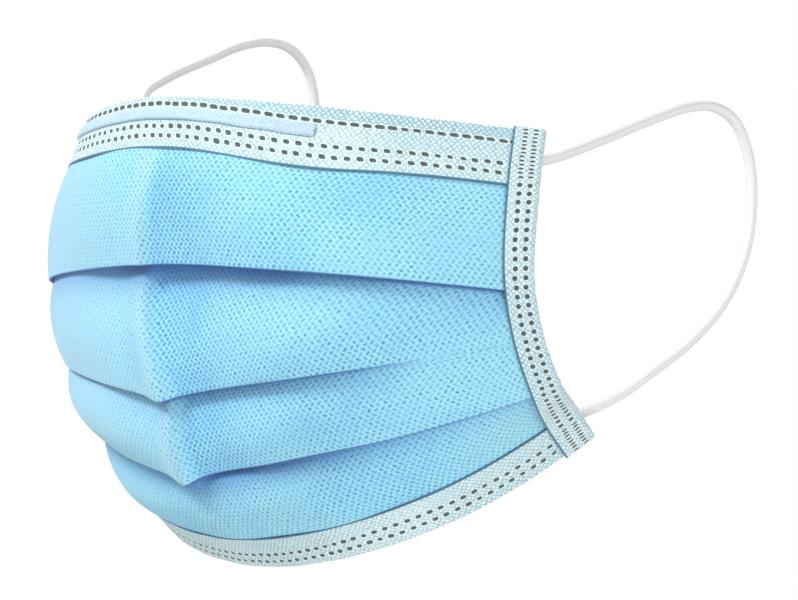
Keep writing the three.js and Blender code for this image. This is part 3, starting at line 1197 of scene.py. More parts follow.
@dataclass
class PleatedCloth:
    """The three plies of cloth as one shell, held in both bands and folded into three pleats.

    Each range is a pair of distances, from the middle towards the wearer's right or, for
    second_fade and shade_range, from the side band, over which something comes or goes.
    """

    form: WornForm
    wall: float = 0.5
    end_gap: float = 1.6
    top: float = 9.4
    top_tuck: float = 0.6
    bottom_tuck: float = 1.0
    seat_depth: float = 0.68
    open_radius: float = 0.75
    pressed_radius: float = 0.27
    smallest_bend: float = 0.26
    overlaps: tuple[float, float, float] = (7, 6, 6)
    swells: tuple[float, float, float, float] = (1.2, 1.2, 0.9, 1.2)
    right_swell: float = 1.7
    last_swell_share: float = 0.8
    bend_shares: tuple[float, float, float] = (1.0, 0.8, 0.7)
    shortest_arc: float = 0.3
    shortest_run: float = 0.5
    turn_share: float = 0.4
    side_band_width: float = 7.6
    fade: float = 55
    second_fade: tuple[float, float] = (16, 54)
    lying: float = 0.9
    lying_range: tuple[float, float] = (8, 34)
    swell_range: tuple[float, float] = (4, 30)
    edge_margin: float = 2.0
    columns: int = 221
    panel_steps: int = 26
    arc_steps: int = 7
    run_steps: int = 4
    crease: CentreCrease = field(default_factory=CentreCrease)
    waves: Waves = Waves(0.35, 14, 42, seed=3, count=7)
    lifts: tuple[float, float, float] = (0.7, 0.3, 0.2)
    lift_rise: tuple[float, float] = (0.35, 0.97)
    flat_share: float = 0.9
    flat_range: tuple[float, float] = (6, 30)
    flare: float = 0.2
    flare_range: tuple[float, float] = (8, 32)
    # painted shade under the folds: how far its shadow reaches down the panel below, the thin line
    # under each edge, and its strength for each fold, on the wearer's right and near the side bands
    shade_reach: float = 4.2
    line_shade_reach: float = 0.6
    line_shade_strength: float = 0.7
    shades: tuple[float, float, float] = (0.9, 0.4, 0.78)
    right_shades: tuple[float, float, float] = (0.55, 0.15, 0.5)
    side_shade: float = 0.3
    shade_range: tuple[float, float] = (12, 62)
    right_shade_range: tuple[float, float] = (2, 34)
    # painted shade in the hollow beside the crease, a painted highlight on the crease and painted
    # light on the wearer's right
    hollow_shade: float = 1.15
    hollow_rise: tuple[float, float] = (1, 5)
    hollow_shade_reach: float = 7.0
    ridge_highlight: float = 0.8
    ridge_shift: float = 0.8
    ridge_reach: float = 1.9
    right_side_light: float = 0.6
    right_side_light_range: tuple[float, float] = (0, 30)
    upper_fading: float = 0.5
    upper_fading_rise: tuple[float, float] = (-0.3, 0)

    def cut_size(self) -> tuple[float, float]:
        """Give the size the cloth is cut to before it is folded, in millimetres.

        The width is that of its widest row, and the length runs down its middle through the
        pleats.
        """
        height, depth, *_ = self.midline(np.zeros(1))
        length = np.hypot(np.diff(height), np.diff(depth)).sum()
        return 2 * float(self.form.lengths.max() - self.end_gap), float(length)

    def from_band(self, share: Array) -> Array:
        """Give the distance from the side band's inner edge."""
        return (1 - np.abs(share)) * self.form.lengths[0] - self.side_band_width

    def openness(self, share: Array) -> Array:
        """Give how open the pleats are: 1 near the middle, 0 where the side bands press them."""
        return smoothstep(self.from_band(share), 0, self.fade)

    def second_openness(self, share: Array) -> Array:
        """Give how open the second pleat is, which smooths out before it meets the side bands."""
        return smoothstep(self.from_band(share), *self.second_fade)

    def pleat(self, edge: Array, radius: Array, turn: Array, run: Array) -> tuple[Array, Array]:
        """Trace the midline of a pleat: over its edge, back up behind it, and down again.

        It is an arc by the turn, a straight run and an arc back, all tangent to each other. The
        middle point of the first arc is the fold's edge.

        Args:
            edge: the height of the fold's lowest place, one for each column.
            radius: the radius of both arcs.
            turn: how far the arcs turn, in radians.
            run: the length of the straight run.

        Returns:
            Heights and depths, a row for each column.
        """
        steps = np.linspace(0, 1, self.arc_steps)[None, :]
        reach = (radius + self.wall / 2) * np.sin(np.minimum(turn, math.pi / 2))
        start_height = edge - reach
        start_depth = self.wall / 2
        over = lerp(-math.pi / 2, turn - math.pi / 2, steps)
        over_height = start_height + radius * np.cos(over)
        over_depth = start_depth + radius + radius * np.sin(over)
        along = np.linspace(0, 1, self.run_steps + 2)[None, 1:-1] * run
        run_height = over_height[:, -1:] + along * np.cos(turn)
        run_depth = over_depth[:, -1:] + along * np.sin(turn)
        end_height = over_height[:, -1:] + run * np.cos(turn)
        end_depth = over_depth[:, -1:] + run * np.sin(turn)
        back = lerp(turn + math.pi / 2, np.full_like(turn, math.pi / 2), steps)
        back_height = end_height + radius * np.sin(turn) + radius * np.cos(back)
        back_depth = end_depth - radius * np.cos(turn) + radius * np.sin(back)
        height = np.concatenate([over_height, run_height, back_height], axis=1)
        depth = np.concatenate([over_depth, run_depth, back_depth], axis=1)
        return height, depth

    def panel(self, start: tuple, end: tuple, swell: Array) -> tuple[Array, Array]:
        """Trace a panel from one pleat to the next.

        Its height is even, its depth comes forward by 1 - (1 - t) cubed, and it swells by a sine.

        Args:
            start: its first height and depth, one of each for each column.
            end: its last height and depth.
            swell: how far it swells out.

        Returns:
            Heights and depths, a row for each column.
        """
        t = np.linspace(0, 1, self.panel_steps + 2)[None, 1:-1]
        height = lerp(start[0], end[0], t)
        depth = lerp(start[1], end[1], 1 - (1 - t) ** 3) - swell * np.sin(math.pi * t)
        return height, depth

    def midline(self, share: Array) -> tuple[Array, Array, Array, Array, Array]:
        """Trace the cloth down each column.

        Args:
            share: the columns' shares across.

        Returns:
            Heights, depths, the cloth's own distance down in millimetres, how much of the crease
            each place takes, and the painted fold shade from 0 to 1: full inside a pleat, a thin
            line under each fold's edge and a shadow fading down the panel below it.
        """
        rows = self.form.heights(share, np.full(len(share), self.end_gap))
        column = [rows[:, k : k + 1] for k in range(rows.shape[1])]
        openness = self.openness(share)[:, None]
        second = self.second_openness(share)[:, None]
        across = self.form.across(share)[:, None]
        lying = self.lying * smoothstep(-across, *self.lying_range)
        radius = lerp(self.pressed_radius, self.open_radius, openness * (1 - lying))
        right = smoothstep(-across, *self.swell_range)
        seat = np.full_like(openness, self.seat_depth)
        heights = [
            np.full_like(openness, self.top),
            self.form.top_band_edge(across) - self.top_tuck,
        ]
        depths = [seat, seat]
        anchors = []
        hidden = []
        start = (heights[-1], depths[-1])
        for k, overlap in enumerate(self.overlaps):
            opened = second if k == 1 else np.ones_like(openness)
            turn = math.pi * np.clip(opened / self.turn_share, 0.01, 1)
            run = overlap * (opened - self.turn_share) / (1 - self.turn_share)
            run = np.maximum(run, self.shortest_run)
            bend = np.maximum(radius * self.bend_shares[k], self.shortest_arc / turn)
            bend = np.maximum(bend, self.smallest_bend)
            height, depth = self.pleat(column[2 + k], bend, turn, run)
            swell = self.swells[k] + (self.right_swell * right if k == 2 else 0)
            panel_height, panel_depth = self.panel(
                start, (height[:, :1], depth[:, :1]), swell * openness
            )
            count = sum(part.shape[1] for part in heights) + panel_height.shape[1]
            if k != 1:
                anchors.append(count + self.arc_steps // 2)
            first_hidden = count + (1 if k == 2 else self.arc_steps // 2 - 1)
            hidden.append((first_hidden, count + height.shape[1] - 1, np.minimum(opened * 2, 1)))
            start = (np.maximum(height[:, -1:], column[2 + k]) + self.wall, depth[:, -1:])
            heights += [panel_height, height, start[0]]
            depths += [panel_depth, depth, start[1]]
        seat_height = column[5] + self.bottom_tuck
        last_swell = self.swells[3] + self.last_swell_share * self.right_swell * right
        last_swell = last_swell * openness
        panel_height, panel_depth = self.panel(start, (seat_height, seat), last_swell)
        heights += [panel_height, seat_height, column[6] - self.edge_margin]
        depths += [panel_depth, seat, seat]
        height = np.concatenate(heights, axis=1)
        depth = np.concatenate(depths, axis=1)
        anchors.append(height.shape[1] - 1)
        second_pleat = slice(hidden[1][0], hidden[1][1] + 1)
        down = self.cloth_distance(height, depth, anchors, second_pleat)
        # Painted shade: full inside each pleat, then a thin dark line just under the fold's edge
        # and a shadow fading down the panel below it.
        fold_shade = np.zeros_like(height)
        from_band = self.from_band(share)[:, None]
        beside = lerp(self.side_shade, 1.0, smoothstep(from_band, *self.shade_range))
        turned = smoothstep(-across, *self.right_shade_range)
        shades = zip(hidden, self.shades, self.right_shades)
        for (first, last, amount), shade, right_shade in shades:
            shaded = shade * beside * lerp(1.0, right_shade, turned)
            below = np.maximum(height[:, last:] - height[:, last + 1 : last + 2], 0)
            soft = shaded * np.exp(-((below / self.shade_reach) ** 1.5))
            line_shade = self.line_shade_strength * np.exp(-((below / self.line_shade_reach) ** 2))
            fold_shade[:, last:] = amount * np.maximum(soft, line_shade)
            fold_shade[:, first : last + 1] = amount
        return height, depth, down, self.crease.share(height, column), fold_shade

    def cloth_distance(
        self, height: Array, depth: Array, anchors: list[int], hidden: slice
    ) -> Array:
        """Measure the distance down the cloth so that the emboss runs along the fold edges.

        The running length is counted back from the nearest fold edge below, whose own distance
        is the same in all columns. The second fold is no such edge, and the cloth hidden in its
        pleat counts as short in all columns, so that the emboss runs on where the pleat is
        smoothed out.

        Args:
            height: the columns' heights.
            depth: the columns' depths.
            anchors: which points are the fold edges.
            hidden: which steps lie inside the second pleat.

        Returns:
            The distance down the cloth.
        """
        steps = np.hypot(np.diff(height, axis=1), np.diff(depth, axis=1))
        inside = steps[:, hidden].sum(axis=1, keepdims=True)
        steps[:, hidden] *= inside.min() / inside
        running = running_length(steps)
        middle = running[len(running) // 2]
        rest_of_pleat = 2 * self.arc_steps + self.run_steps - self.arc_steps // 2 - 1
        down = np.empty_like(running)
        first = 0
        for anchor in anchors:
            last = min(anchor + rest_of_pleat, height.shape[1] - 1)
            part = slice(first, last + 1)
            down[:, part] = running[:, part] - running[:, anchor : anchor + 1] + middle[anchor]
            first = last + 1
        return down

    def tone(self, across: Array, from_ridge: Array, first: Array) -> Array:
        """Give how deep or pale the cloth's blue is.

        It is a painted shade, a deeper blue, in the hollow beside the crease, which turns away from
        the key light, a painted highlight on the crease itself, and painted light on the wearer's
        right, where the key light falls.

        Args:
            across: the distance from the middle.
            from_ridge: the distance from the crease.
            first: the share of the way down the first panel.

        Returns:
            1 for the deepest blue and -1 for the palest.
        """
        t = np.maximum(from_ridge, 0) / self.hollow_shade_reach
        deep = self.hollow_shade * t * np.exp(1 - t) * smoothstep(from_ridge, *self.hollow_rise)
        beside = (from_ridge + self.ridge_shift) / self.ridge_reach
        ridge = self.ridge_highlight * np.exp(-(beside**2))
        right = self.right_side_light * smoothstep(-across, *self.right_side_light_range)
        fading = 1 - self.upper_fading * smoothstep(-first, *self.upper_fading_rise)
        return np.clip(deep * fading - ridge - right, -1, 1)

    def build(self, outer: bpy.types.Material, inner: bpy.types.Material) -> bpy.types.Object:
        """Make the cloth.

        Args:
            outer: the outer ply's material.
            inner: the inner ply's material.

        Returns:
            The piece.
        """
        share = np.linspace(-1, 1, self.columns)
        height, depth, down, crease, fold_shade = self.midline(share)
        inner_down = running_length(np.hypot(np.diff(height, axis=1), np.diff(depth, axis=1)))
        across = np.broadcast_to(self.form.across(share)[:, None], height.shape)
        openness = self.openness(share)[:, None]
        inside = np.minimum(height - self.top, 1.0) * openness
        rows = self.form.heights(share, np.full(len(share), self.end_gap))
        parts = [
            (height - rows[:, k : k + 1]) / (rows[:, k + 1 : k + 2] - rows[:, k : k + 1])
            for k in (1, 2, 3)
        ]
        ridge_place = self.crease.place(*parts)
        out = self.crease.relief(across - ridge_place) * crease * openness
        # painted light and shade on the panels above the lowest fold
        tone = self.tone(across, across - ridge_place, parts[0]) * (height < rows[:, 4:5])
        out = out + self.waves.relief(across, down) * inside
        for part, lift, k in zip(parts, self.lifts, (2, 3, 4)):
            visible = (fold_shade < 0.95) * (height < rows[:, k : k + 1] + 0.1)
            opened = self.second_openness(share)[:, None] if k == 3 else openness
            amount = lift * opened
            if k == 4:
                amount = amount + self.flare * smoothstep(-across, *self.flare_range)
            amount = amount * (1 - self.flat_share * smoothstep(-across, *self.flat_range))
            out = out + amount * smoothstep(part, *self.lift_rise) * visible
        gap = np.full_like(height, self.end_gap)
        shares = np.broadcast_to(share[:, None], height.shape)
        grids = []
        for amount in (-self.wall / 2, self.wall / 2):
            line_height, line_depth = offset_line(height, depth, amount)
            grid = self.form.place(shares, gap, line_height, line_depth - out)
            grids.append(grid.reshape(-1, 3))
        faces, per_grid = shell_faces(*height.shape)
        face = grids[0].reshape(*height.shape, 3)
        steps = np.linalg.norm(np.diff(face, axis=0), axis=2)
        running = running_length(steps, axis=0)
        running = running - running[len(running) // 2]
        place = np.stack([running, down, np.zeros_like(down)], axis=2).reshape(-1, 3)
        inner_place = np.stack([running, inner_down, np.full_like(down, INNER_SHIFT)], axis=2)
        inner_faces = np.zeros(len(faces), bool)
        inner_faces[per_grid : 2 * per_grid] = True
        piece = make_mesh(
            "pleated_cloth",
            np.concatenate(grids),
            faces,
            {
                CLOTH_MM: np.concatenate([place, inner_place.reshape(-1, 3)]),
                PAINTED_FOLD_SHADE: np.concatenate([fold_shade.ravel(), np.zeros(fold_shade.size)]),
                TONE_AND_PAINTED_LIGHT: np.concatenate([tone.ravel(), np.zeros(tone.size)]),
            },
            inner_faces,
        )
        piece.data.materials.append(outer)
        piece.data.materials.append(inner)
        return piece


@dataclass(frozen=True)
class WeldRow:
    """A row of weld marks along a band, in millimetres.

    The row lies one distance from the folded edge in the middle, and another towards the sides.
    """

    distance: float
    side_distance: float
    pitch: float = 2.8
    length: float = 1.45
    width: float = 1.08
    lean: float = 0.3
    shake: float = 0.06
    lift: float = 0.04
    seed: int = 1
    varied: int = 400

    def marks(self, along: Array, distance: Array) -> Array:
        """Give how deep in a mark each place lies.

        The marks are rounded boxes, where the fourth powers of the distance along and of the
        distance across, each by half a mark, add up to 1. They lean, and each differs a little.

        Args:
            along: the distance along the band.
            distance: the distance from the band's folded edge.

        Returns:
            1 well inside a mark, 0.5 on its rim and 0 outside.
        """
        rng = np.random.default_rng(self.seed)
        number = np.round(along / self.pitch).astype(int)
        size, shift, lift = rng.normal(0, 1, (3, self.varied))[:, number % self.varied]
        centre = number * self.pitch + self.shake * shift
        grown = 1 + self.shake * size
        row = lerp(self.distance, self.side_distance, towards_side(along))
        beside = distance - row - self.lift * lift
        x = (along - centre - self.lean * beside) / (self.length / 2 * grown)
        y = beside / (self.width / 2 * grown)
        rim = (np.abs(x) ** 4 + np.abs(y) ** 4) ** 0.25
        return np.clip(1.5 - rim, 0, 1)


@dataclass
class FoldedStrip:
    """A strip of thin cloth folded over an edge: a front leaf, the fold and a back leaf."""

    reach: float
    front_depth: float
    fold_radius: float
    wall: float = 0.3
    leaf_steps: int = 38
    fold_steps: int = 9
    back_steps: int = 20

    def midline(self) -> tuple[Array, Array]:
        """Trace the strip's midline as distance from the edge and depth.

        Two straight leaves join a half circle whose outer face touches the edge.

        Returns:
            The two coordinates, each with one row.
        """
        bend = self.fold_radius + self.wall / 2
        front = np.linspace(self.reach, bend, self.leaf_steps)
        angle = np.linspace(-math.pi / 2, -1.5 * math.pi, self.fold_steps + 2)[1:-1]
        back = np.linspace(bend, self.reach, self.back_steps)
        distance = np.concatenate([front, bend + self.fold_radius * np.cos(angle), back])
        centre_depth = self.front_depth + self.fold_radius
        depth = np.concatenate(
            [
                np.full(len(front), self.front_depth),
                centre_depth + self.fold_radius * np.sin(angle),
                np.full(len(back), centre_depth + self.fold_radius),
            ]
        )
        return distance[None, :], depth[None, :]

    def down(self) -> Array:
        """Give the running length along the midline from the front leaf's edge."""
        distance, depth = self.midline()
        return running_length(np.hypot(np.diff(distance[0]), np.diff(depth[0])))


@dataclass
class EdgeBand:
    """The binding along the top or the bottom edge, with its rows of welds."""

    form: WornForm
    border: Border
    strip: FoldedStrip
    welds: tuple[WeldRow, ...]
    end_gap: float = 1.6
    columns: int = 521
    dent: float = 0.22
    edge_shadow_width: float = 0.85
    waves: Waves = Waves(0.12, 5, 16, seed=11)
    channel_top: tuple[float, float] = (2.5, 4.8)
    channel_bottom: tuple[float, float] = (5.35, 8.2)
    wire_half_length: float = 47.6
    wire_relief: float = 0.55
    line_below: float = 0.22
    line_half_width: float = 0.26
    line_depth: float = 0.12
    line_colour: float = 0.62
    bulge_rise: tuple[float, float] = (-0.4, 1.1)
    bulge_end: float = -0.12
    bulge_taper: float = 0.3
    end_beyond: float = 0.15
    end_half_width: float = 0.24
    end_rise: tuple[float, float] = (0.7, 1.1)
    tone_share: float = 0.8
    tone_end: tuple[float, float] = (-1.0, -0.4)
    tone_range: tuple[float, float] = (2, 26)

    def channel(self, across: Array, height: Array) -> tuple[Array, Array]:
        """Give where the wire lies under the cloth.

        Args:
            across: the distance from the middle.
            height: the distance from the top edge.

        Returns:
            How far the cloth bulges over the wire, from 0 to 1, and 1 on the line pressed below it.
        """
        if self.border is Border.BOTTOM:
            return np.zeros(height.shape), np.zeros(height.shape)
        side = towards_side(across)
        top = lerp(*self.channel_top, side)
        bottom = lerp(*self.channel_bottom, side)
        beyond = np.abs(across) - self.wire_half_length
        upper = smoothstep(height - top, *self.bulge_rise)
        lower = 1 - smoothstep(height - bottom, self.bulge_end, self.line_below)
        length = 1 - smoothstep(beyond, -self.bulge_taper, 0)
        beside = np.abs(height - bottom - self.line_below) / self.line_half_width
        line = np.exp(-(beside**4)) * length
        end = np.exp(-(((beyond - self.end_beyond) / self.end_half_width) ** 4))
        end = end * smoothstep(height - top, *self.end_rise) * lower
        return upper * lower * length, np.maximum(line, end)

    def build(self, material: bpy.types.Material) -> bpy.types.Object:
        """Make the band.

        Args:
            material: the band's material.

        Returns:
            The piece.
        """
        share = np.linspace(-1, 1, self.columns)[:, None]
        distance, depth = self.strip.midline()
        front = depth < self.strip.front_depth + self.strip.fold_radius
        across = self.form.across(share) * np.ones_like(distance)
        down = np.broadcast_to(self.strip.down()[None, :], across.shape)
        rows = self.form.heights(share[:, 0], np.full(self.columns, self.end_gap))
        base = rows[:, 6] - rows[:, 5]
        if self.border is Border.TOP:
            base = self.form.top_band_edge(across[:, 0])
        from_fold = distance * base[:, None] / self.strip.reach
        weld = np.zeros_like(across)
        for row in self.welds:
            weld = np.maximum(weld, row.marks(across, from_fold))
        wire, line = (mark * front for mark in self.channel(across, from_fold))
        # the strip along each leaf's inner edge: it takes the painted shadow line, and the waves
        # stop there
        edge = smoothstep(-np.abs(distance - self.strip.reach), -self.edge_shadow_width, 0.0)
        edge = edge * np.ones_like(across)
        stretch = base[:, None] / self.strip.reach
        pressed = self.dent * smoothstep(weld, *DENT_RANGE)
        out = self.wire_relief * wire - pressed * front - self.line_depth * line
        out = out + pressed * ~front
        out = out + self.waves.relief(across, down) * (1 - edge)
        grids = []
        for amount in (-self.strip.wall / 2, self.strip.wall / 2):
            line_distance, line_depth = offset_line(distance, depth, amount)
            measured = line_distance * stretch
            height = measured if self.border is Border.TOP else rows[:, 6:7] - measured
            grid = self.form.place(share, np.full(1, self.end_gap), height, line_depth - out)
            grids.append(grid.reshape(-1, 3))
        faces, _ = shell_faces(self.columns, distance.shape[1])
        place = np.stack([across, down, np.zeros_like(down)], axis=2).reshape(-1, 3)
        # a deeper colour over the strip between the folded top edge and the first row of welds, on
        # the wearer's left
        above = lerp(self.welds[0].distance, self.welds[0].side_distance, towards_side(across))
        tone = self.tone_share * (1 - smoothstep(from_fold - above, *self.tone_end))
        tone = tone * smoothstep(across, *self.tone_range) * (self.border is Border.TOP)
        # the painted shadow line along the leaves' edges, and the line pressed below the wire at
        # line_colour of the same dark colour
        edges = np.maximum(edge, self.line_colour * line)
        twice = {WELD: weld, EDGE_SHADE_AND_PRESSED_LINE: edges, PLAIN: wire, TONE_AND_PAINTED_LIGHT: tone * np.ones_like(weld)}
        values = {key: np.tile(value.ravel(), 2) for key, value in twice.items()}
        values[CLOTH_MM] = np.concatenate([place, place + (0, 0, INNER_SHIFT)])
        piece = make_mesh(f"{self.border.value}_edge_band", np.concatenate(grids), faces, values)
        piece.data.materials.append(material)
        return piece


@dataclass
class SideBand:
    """The binding along a side edge, over the ends of the other two, with two rows of welds."""

    form: WornForm
    side: Side
    strip: FoldedStrip
    row_distances: tuple[float, float] = (2.5, 4.85)
    first_mark: float = 0.6
    dense_pitch: float = 1.1
    round_pitch: float = 2.1
    half_across: tuple[float, float] = (0.62, 0.75)
    half_down: tuple[float, float] = (0.6, 0.29)
    shake: float = 0.04
    lift: float = 0.06
    dense_above: float = 14
    dense_below: float = 8.5
    rows: int = 301
    dent: float = 0.2
    edge_shadow_width: float = 0.7
    ragged: Waves = Waves(0.12, 1.6, 5, seed=17)
    ragged_slowness: float = 0.3
    ragged_range: tuple[float, float] = (0.3, 2.0)

    def mark_places(self, length: float) -> tuple[Array, Array]:
        """List the welds down the band.

        They stand close over the ends of the other bands, and wider apart between them.

        Args:
            length: the band's length.

        Returns:
            Their places in millimetres, and 1 for each dense one, 0 for each round one.
        """
        upper = np.arange(self.first_mark, self.dense_above, self.dense_pitch)
        lower = length - np.arange(self.first_mark, self.dense_below, self.dense_pitch)[::-1]
        room = lower[0] - upper[-1]
        count = round(room / self.round_pitch)
        between = upper[-1] + room * np.arange(1, count) / count
        places = np.concatenate([upper, between, lower])
        dense = np.concatenate([np.ones(len(upper)), np.zeros(len(between)), np.ones(len(lower))])
        return places, dense

    def welds(self, down: Array, distance: Array, length: float) -> Array:
        """Give how deep in a mark each place lies: 1 well inside, 0.5 on its rim, 0 outside.

        Round marks are discs and dense ones flat ovals, by the square of both distances.
        """
        places, dense = self.mark_places(length)
        rng = np.random.default_rng(5)
        best = np.zeros(np.broadcast(down, distance).shape)
        for row, row_distance in enumerate(self.row_distances):
            shift, lift = rng.normal(0, 1, (2, len(places)))
            nearest = np.abs(down[..., None] - places).argmin(axis=-1)
            half_across = lerp(*self.half_across, dense)[nearest]
            half_down = lerp(*self.half_down, dense)[nearest]
            x = (distance - row_distance - self.lift * lift[nearest]) / half_across
            y = (down - places[nearest] - self.shake * shift[nearest]) / half_down
            best = np.maximum(best, np.clip(1.5 - np.sqrt(x * x + y * y), 0, 1))
        return best

    def build(self, material: bpy.types.Material) -> bpy.types.Object:
        """Make the band.

        Args:
            material: the band's material.

        Returns:
            The piece.
        """
        share = np.linspace(0, 1, self.rows)[:, None]
        distance, depth = self.strip.midline()
        front = depth < self.strip.front_depth + self.strip.fold_radius
        one = np.ones((self.rows, distance.shape[1]))
        length = float(self.form.heights(np.ones(1), np.full(1, self.strip.reach / 2))[0, -1])
        down = share * length * one
        weld = self.welds(down, distance * one, length)
        # the painted shadow line along the leaf's inner edge
        edge = smoothstep(-np.abs(distance - self.strip.reach), -self.edge_shadow_width, 0.0) * one
        pressed = self.dent * smoothstep(weld, *DENT_RANGE)
        out = np.where(front, -pressed, pressed)
        rough = self.ragged.relief(down, self.ragged_slowness * self.strip.down()[None, :] * one)
        folded = 1 - smoothstep(distance, *self.ragged_range)
        grids = []
        for amount in (-self.strip.wall / 2, self.strip.wall / 2):
            line_distance, line_depth = offset_line(distance, depth, amount)
            gap = line_distance * one + rough * folded
            height = share * self.form.heights(one, gap)[..., -1]
            signed = np.full_like(gap, self.side.value)
            grids.append(self.form.place(signed, gap, height, line_depth - out).reshape(-1, 3))
        faces, _ = shell_faces(*one.shape)
        running = np.broadcast_to(self.strip.down()[None, :], one.shape)
        place = np.stack([running, down, np.zeros_like(down)], axis=2).reshape(-1, 3)
        values = {
            WELD: np.tile(weld.ravel(), 2),
            EDGE_SHADE_AND_PRESSED_LINE: np.tile(edge.ravel(), 2),
            PLAIN: np.zeros(2 * one.size),
            CLOTH_MM: np.concatenate([place, place + (0, 0, INNER_SHIFT)]),
        }
        name = f"side_band_{self.side.name.lower()}"
        piece = make_mesh(name, np.concatenate(grids), faces, values)
        piece.data.materials.append(material)
        return piece


@dataclass
class NoseWire:
    """The coated wire strip inside the top band."""

    form: WornForm
    length: float = 92
    width: float = 2.6
    thickness: float = 0.6
    middle_height: float = 3.95
    side_height: float = 6.6
    depth: float = 0.3
    closing_length: float = 0.5
    columns: int = 121
    around: int = 20

    def build(self, material: bpy.types.Material) -> bpy.types.Object:
        """Make the strip, whose section is a flat rounded box carried along the band.

        The section's half sizes are scaled by the square roots of the sine and cosine, and it
        closes to a point over the closing length.

        Args:
            material: the strip's material.

        Returns:
            The piece.
        """
        along = np.linspace(-0.5, 0.5, self.columns)[:, None] * self.length
        angle = np.linspace(0, 2 * math.pi, self.around, endpoint=False)[None, :]
        from_end = self.length / 2 - np.abs(along)
        closing = np.sqrt(np.clip(from_end / self.closing_length, 0.0001, 1))
        cosine, sine = np.cos(angle), np.sin(angle)
        across_section = np.sign(cosine) * np.abs(cosine) ** 0.5 * self.width / 2 * closing
        through_section = np.sign(sine) * np.abs(sine) ** 0.5 * self.thickness / 2 * closing
        centre = lerp(self.middle_height, self.side_height, towards_side(along))
        height = centre + across_section
        depth = self.depth + through_section
        share = along / self.form.lengths[0] * np.ones_like(height)
        points = self.form.place(share, np.zeros(1), height, depth).reshape(-1, 3)
        faces = tube_faces(*height.shape)
        place = np.stack([along * np.ones_like(height), height, depth], axis=2).reshape(-1, 3)
        piece = make_mesh("nose_wire_strip", points, faces, {CLOTH_MM: place})
        piece.data.materials.append(material)
        return piece


@dataclass
class EarCord:
    """A loop of round knitted elastic, its ends pressed flat and welded behind a side band."""

    side: Side
    route: tuple[tuple[float, float, float], ...]
    diameter: float = 2.8
    around: int = 30
    step: float = 0.36
    fineness: int = 24
    closing_length: float = 0.6
    stitch: float = 1.05
    wales: int = 9
    knit_depth: float = 0.09

    def centreline(self) -> Array:
        """Trace the cord through its route's points by a centripetal Catmull-Rom curve.

        Each piece mixes its four nearest points by the square roots of their distances apart.

        Returns:
            Points even steps apart, in millimetres.
        """
        points = np.array(self.route, float)
        first = 2 * points[0] - points[1]
        last = 2 * points[-1] - points[-2]
        points = np.concatenate([[first], points, [last]])
        knot = np.sqrt(np.linalg.norm(np.diff(points, axis=0), axis=1))
        t = np.linspace(0, 1, self.fineness, endpoint=False)[:, None]
        pieces = []
        for k in range(1, len(points) - 2):
            before, here, after = knot[k - 1], knot[k], knot[k + 1]
            p0, p1, p2, p3 = points[k - 1 : k + 3]
            m1 = here * ((p1 - p0) / before - (p2 - p0) / (before + here) + (p2 - p1) / here)
            m2 = here * ((p2 - p1) / here - (p3 - p1) / (here + after) + (p3 - p2) / after)
            a = 2 * (p1 - p2) + m1 + m2
            b = -3 * (p1 - p2) - 2 * m1 - m2
            pieces.append(((a * t + b) * t + m1) * t + p1)
        line = np.concatenate([*pieces, points[-2:-1]])
        along = running_length(np.linalg.norm(np.diff(line, axis=0), axis=1))
        at = np.linspace(0, along[-1], math.ceil(along[-1] / self.step) + 1)
        return np.stack([np.interp(at, along, line[:, k]) for k in range(3)], axis=1)

    @staticmethod
    def frames(line: Array) -> tuple[Array, Array]:
        """Carry two directions across the cord along it, by taking out what turns with it.

        Args:
            line: the centreline's points.

        Returns:
            Two unit vectors at each point, at right angles to the line and to each other.
        """
        tangent = unit(np.gradient(line, axis=0))
        upright = np.array([1.0, 0.0, 0.0])
        first = unit(upright - tangent * (tangent @ upright)[:, None])
        return first, np.cross(tangent, first)

    def build(self, material: bpy.types.Material) -> bpy.types.Object:
        """Make the cord, a tube whose radius follows the loops of the knit.

        Each wale of the knit is a column of stitches, a raised cosine in both directions, and
        every second wale is shifted by half a stitch.

        Args:
            material: the cord's material.

        Returns:
            The piece.
        """
        line = self.centreline()
        first, second = self.frames(line)
        along = np.arange(len(line))[:, None] * np.linalg.norm(line[1] - line[0])
        angle = np.linspace(0, 2 * math.pi, self.around, endpoint=False)[None, :]
        wale = angle * self.wales
        stitch = 2 * math.pi * along / self.stitch + wale * 0.5
        knit = 0.5 * np.cos(wale) + 0.5 * np.cos(stitch)
        from_end = np.minimum(along, along[-1] - along)
        closing = np.sqrt(np.clip(from_end / self.closing_length, 0.001, 1))
        radius = (self.diameter / 2 - self.knit_depth + self.knit_depth * knit) * closing
        points = (
            line[:, None, :]
            + first[:, None, :] * (radius * np.cos(angle))[..., None]
            + second[:, None, :] * (radius * np.sin(angle))[..., None]
        )
        flat = np.zeros_like(radius)
        place = np.stack([self.diameter / 2 * angle + flat, along + flat, flat], axis=2)
        # painted shade in the grooves between the loops
        groove_shade = np.clip(0.5 - 0.5 * knit, 0, 1)
        values = {CLOTH_MM: place.reshape(-1, 3), GROOVE_SHADE: groove_shade.ravel()}
        name = f"ear_cord_{self.side.name.lower()}"
        piece = make_mesh(name, points.reshape(-1, 3), tube_faces(*radius.shape), values)
        piece.data.materials.append(material)
        return piece


@dataclass(frozen=True)
class SoftLight:
    """A square light that faces the mask.

    Its angles are in degrees, its distance and side in millimetres, and its power in watts.
    """

    name: str
    azimuth: float
    elevation: float
    distance: float
    side: float
    power: float


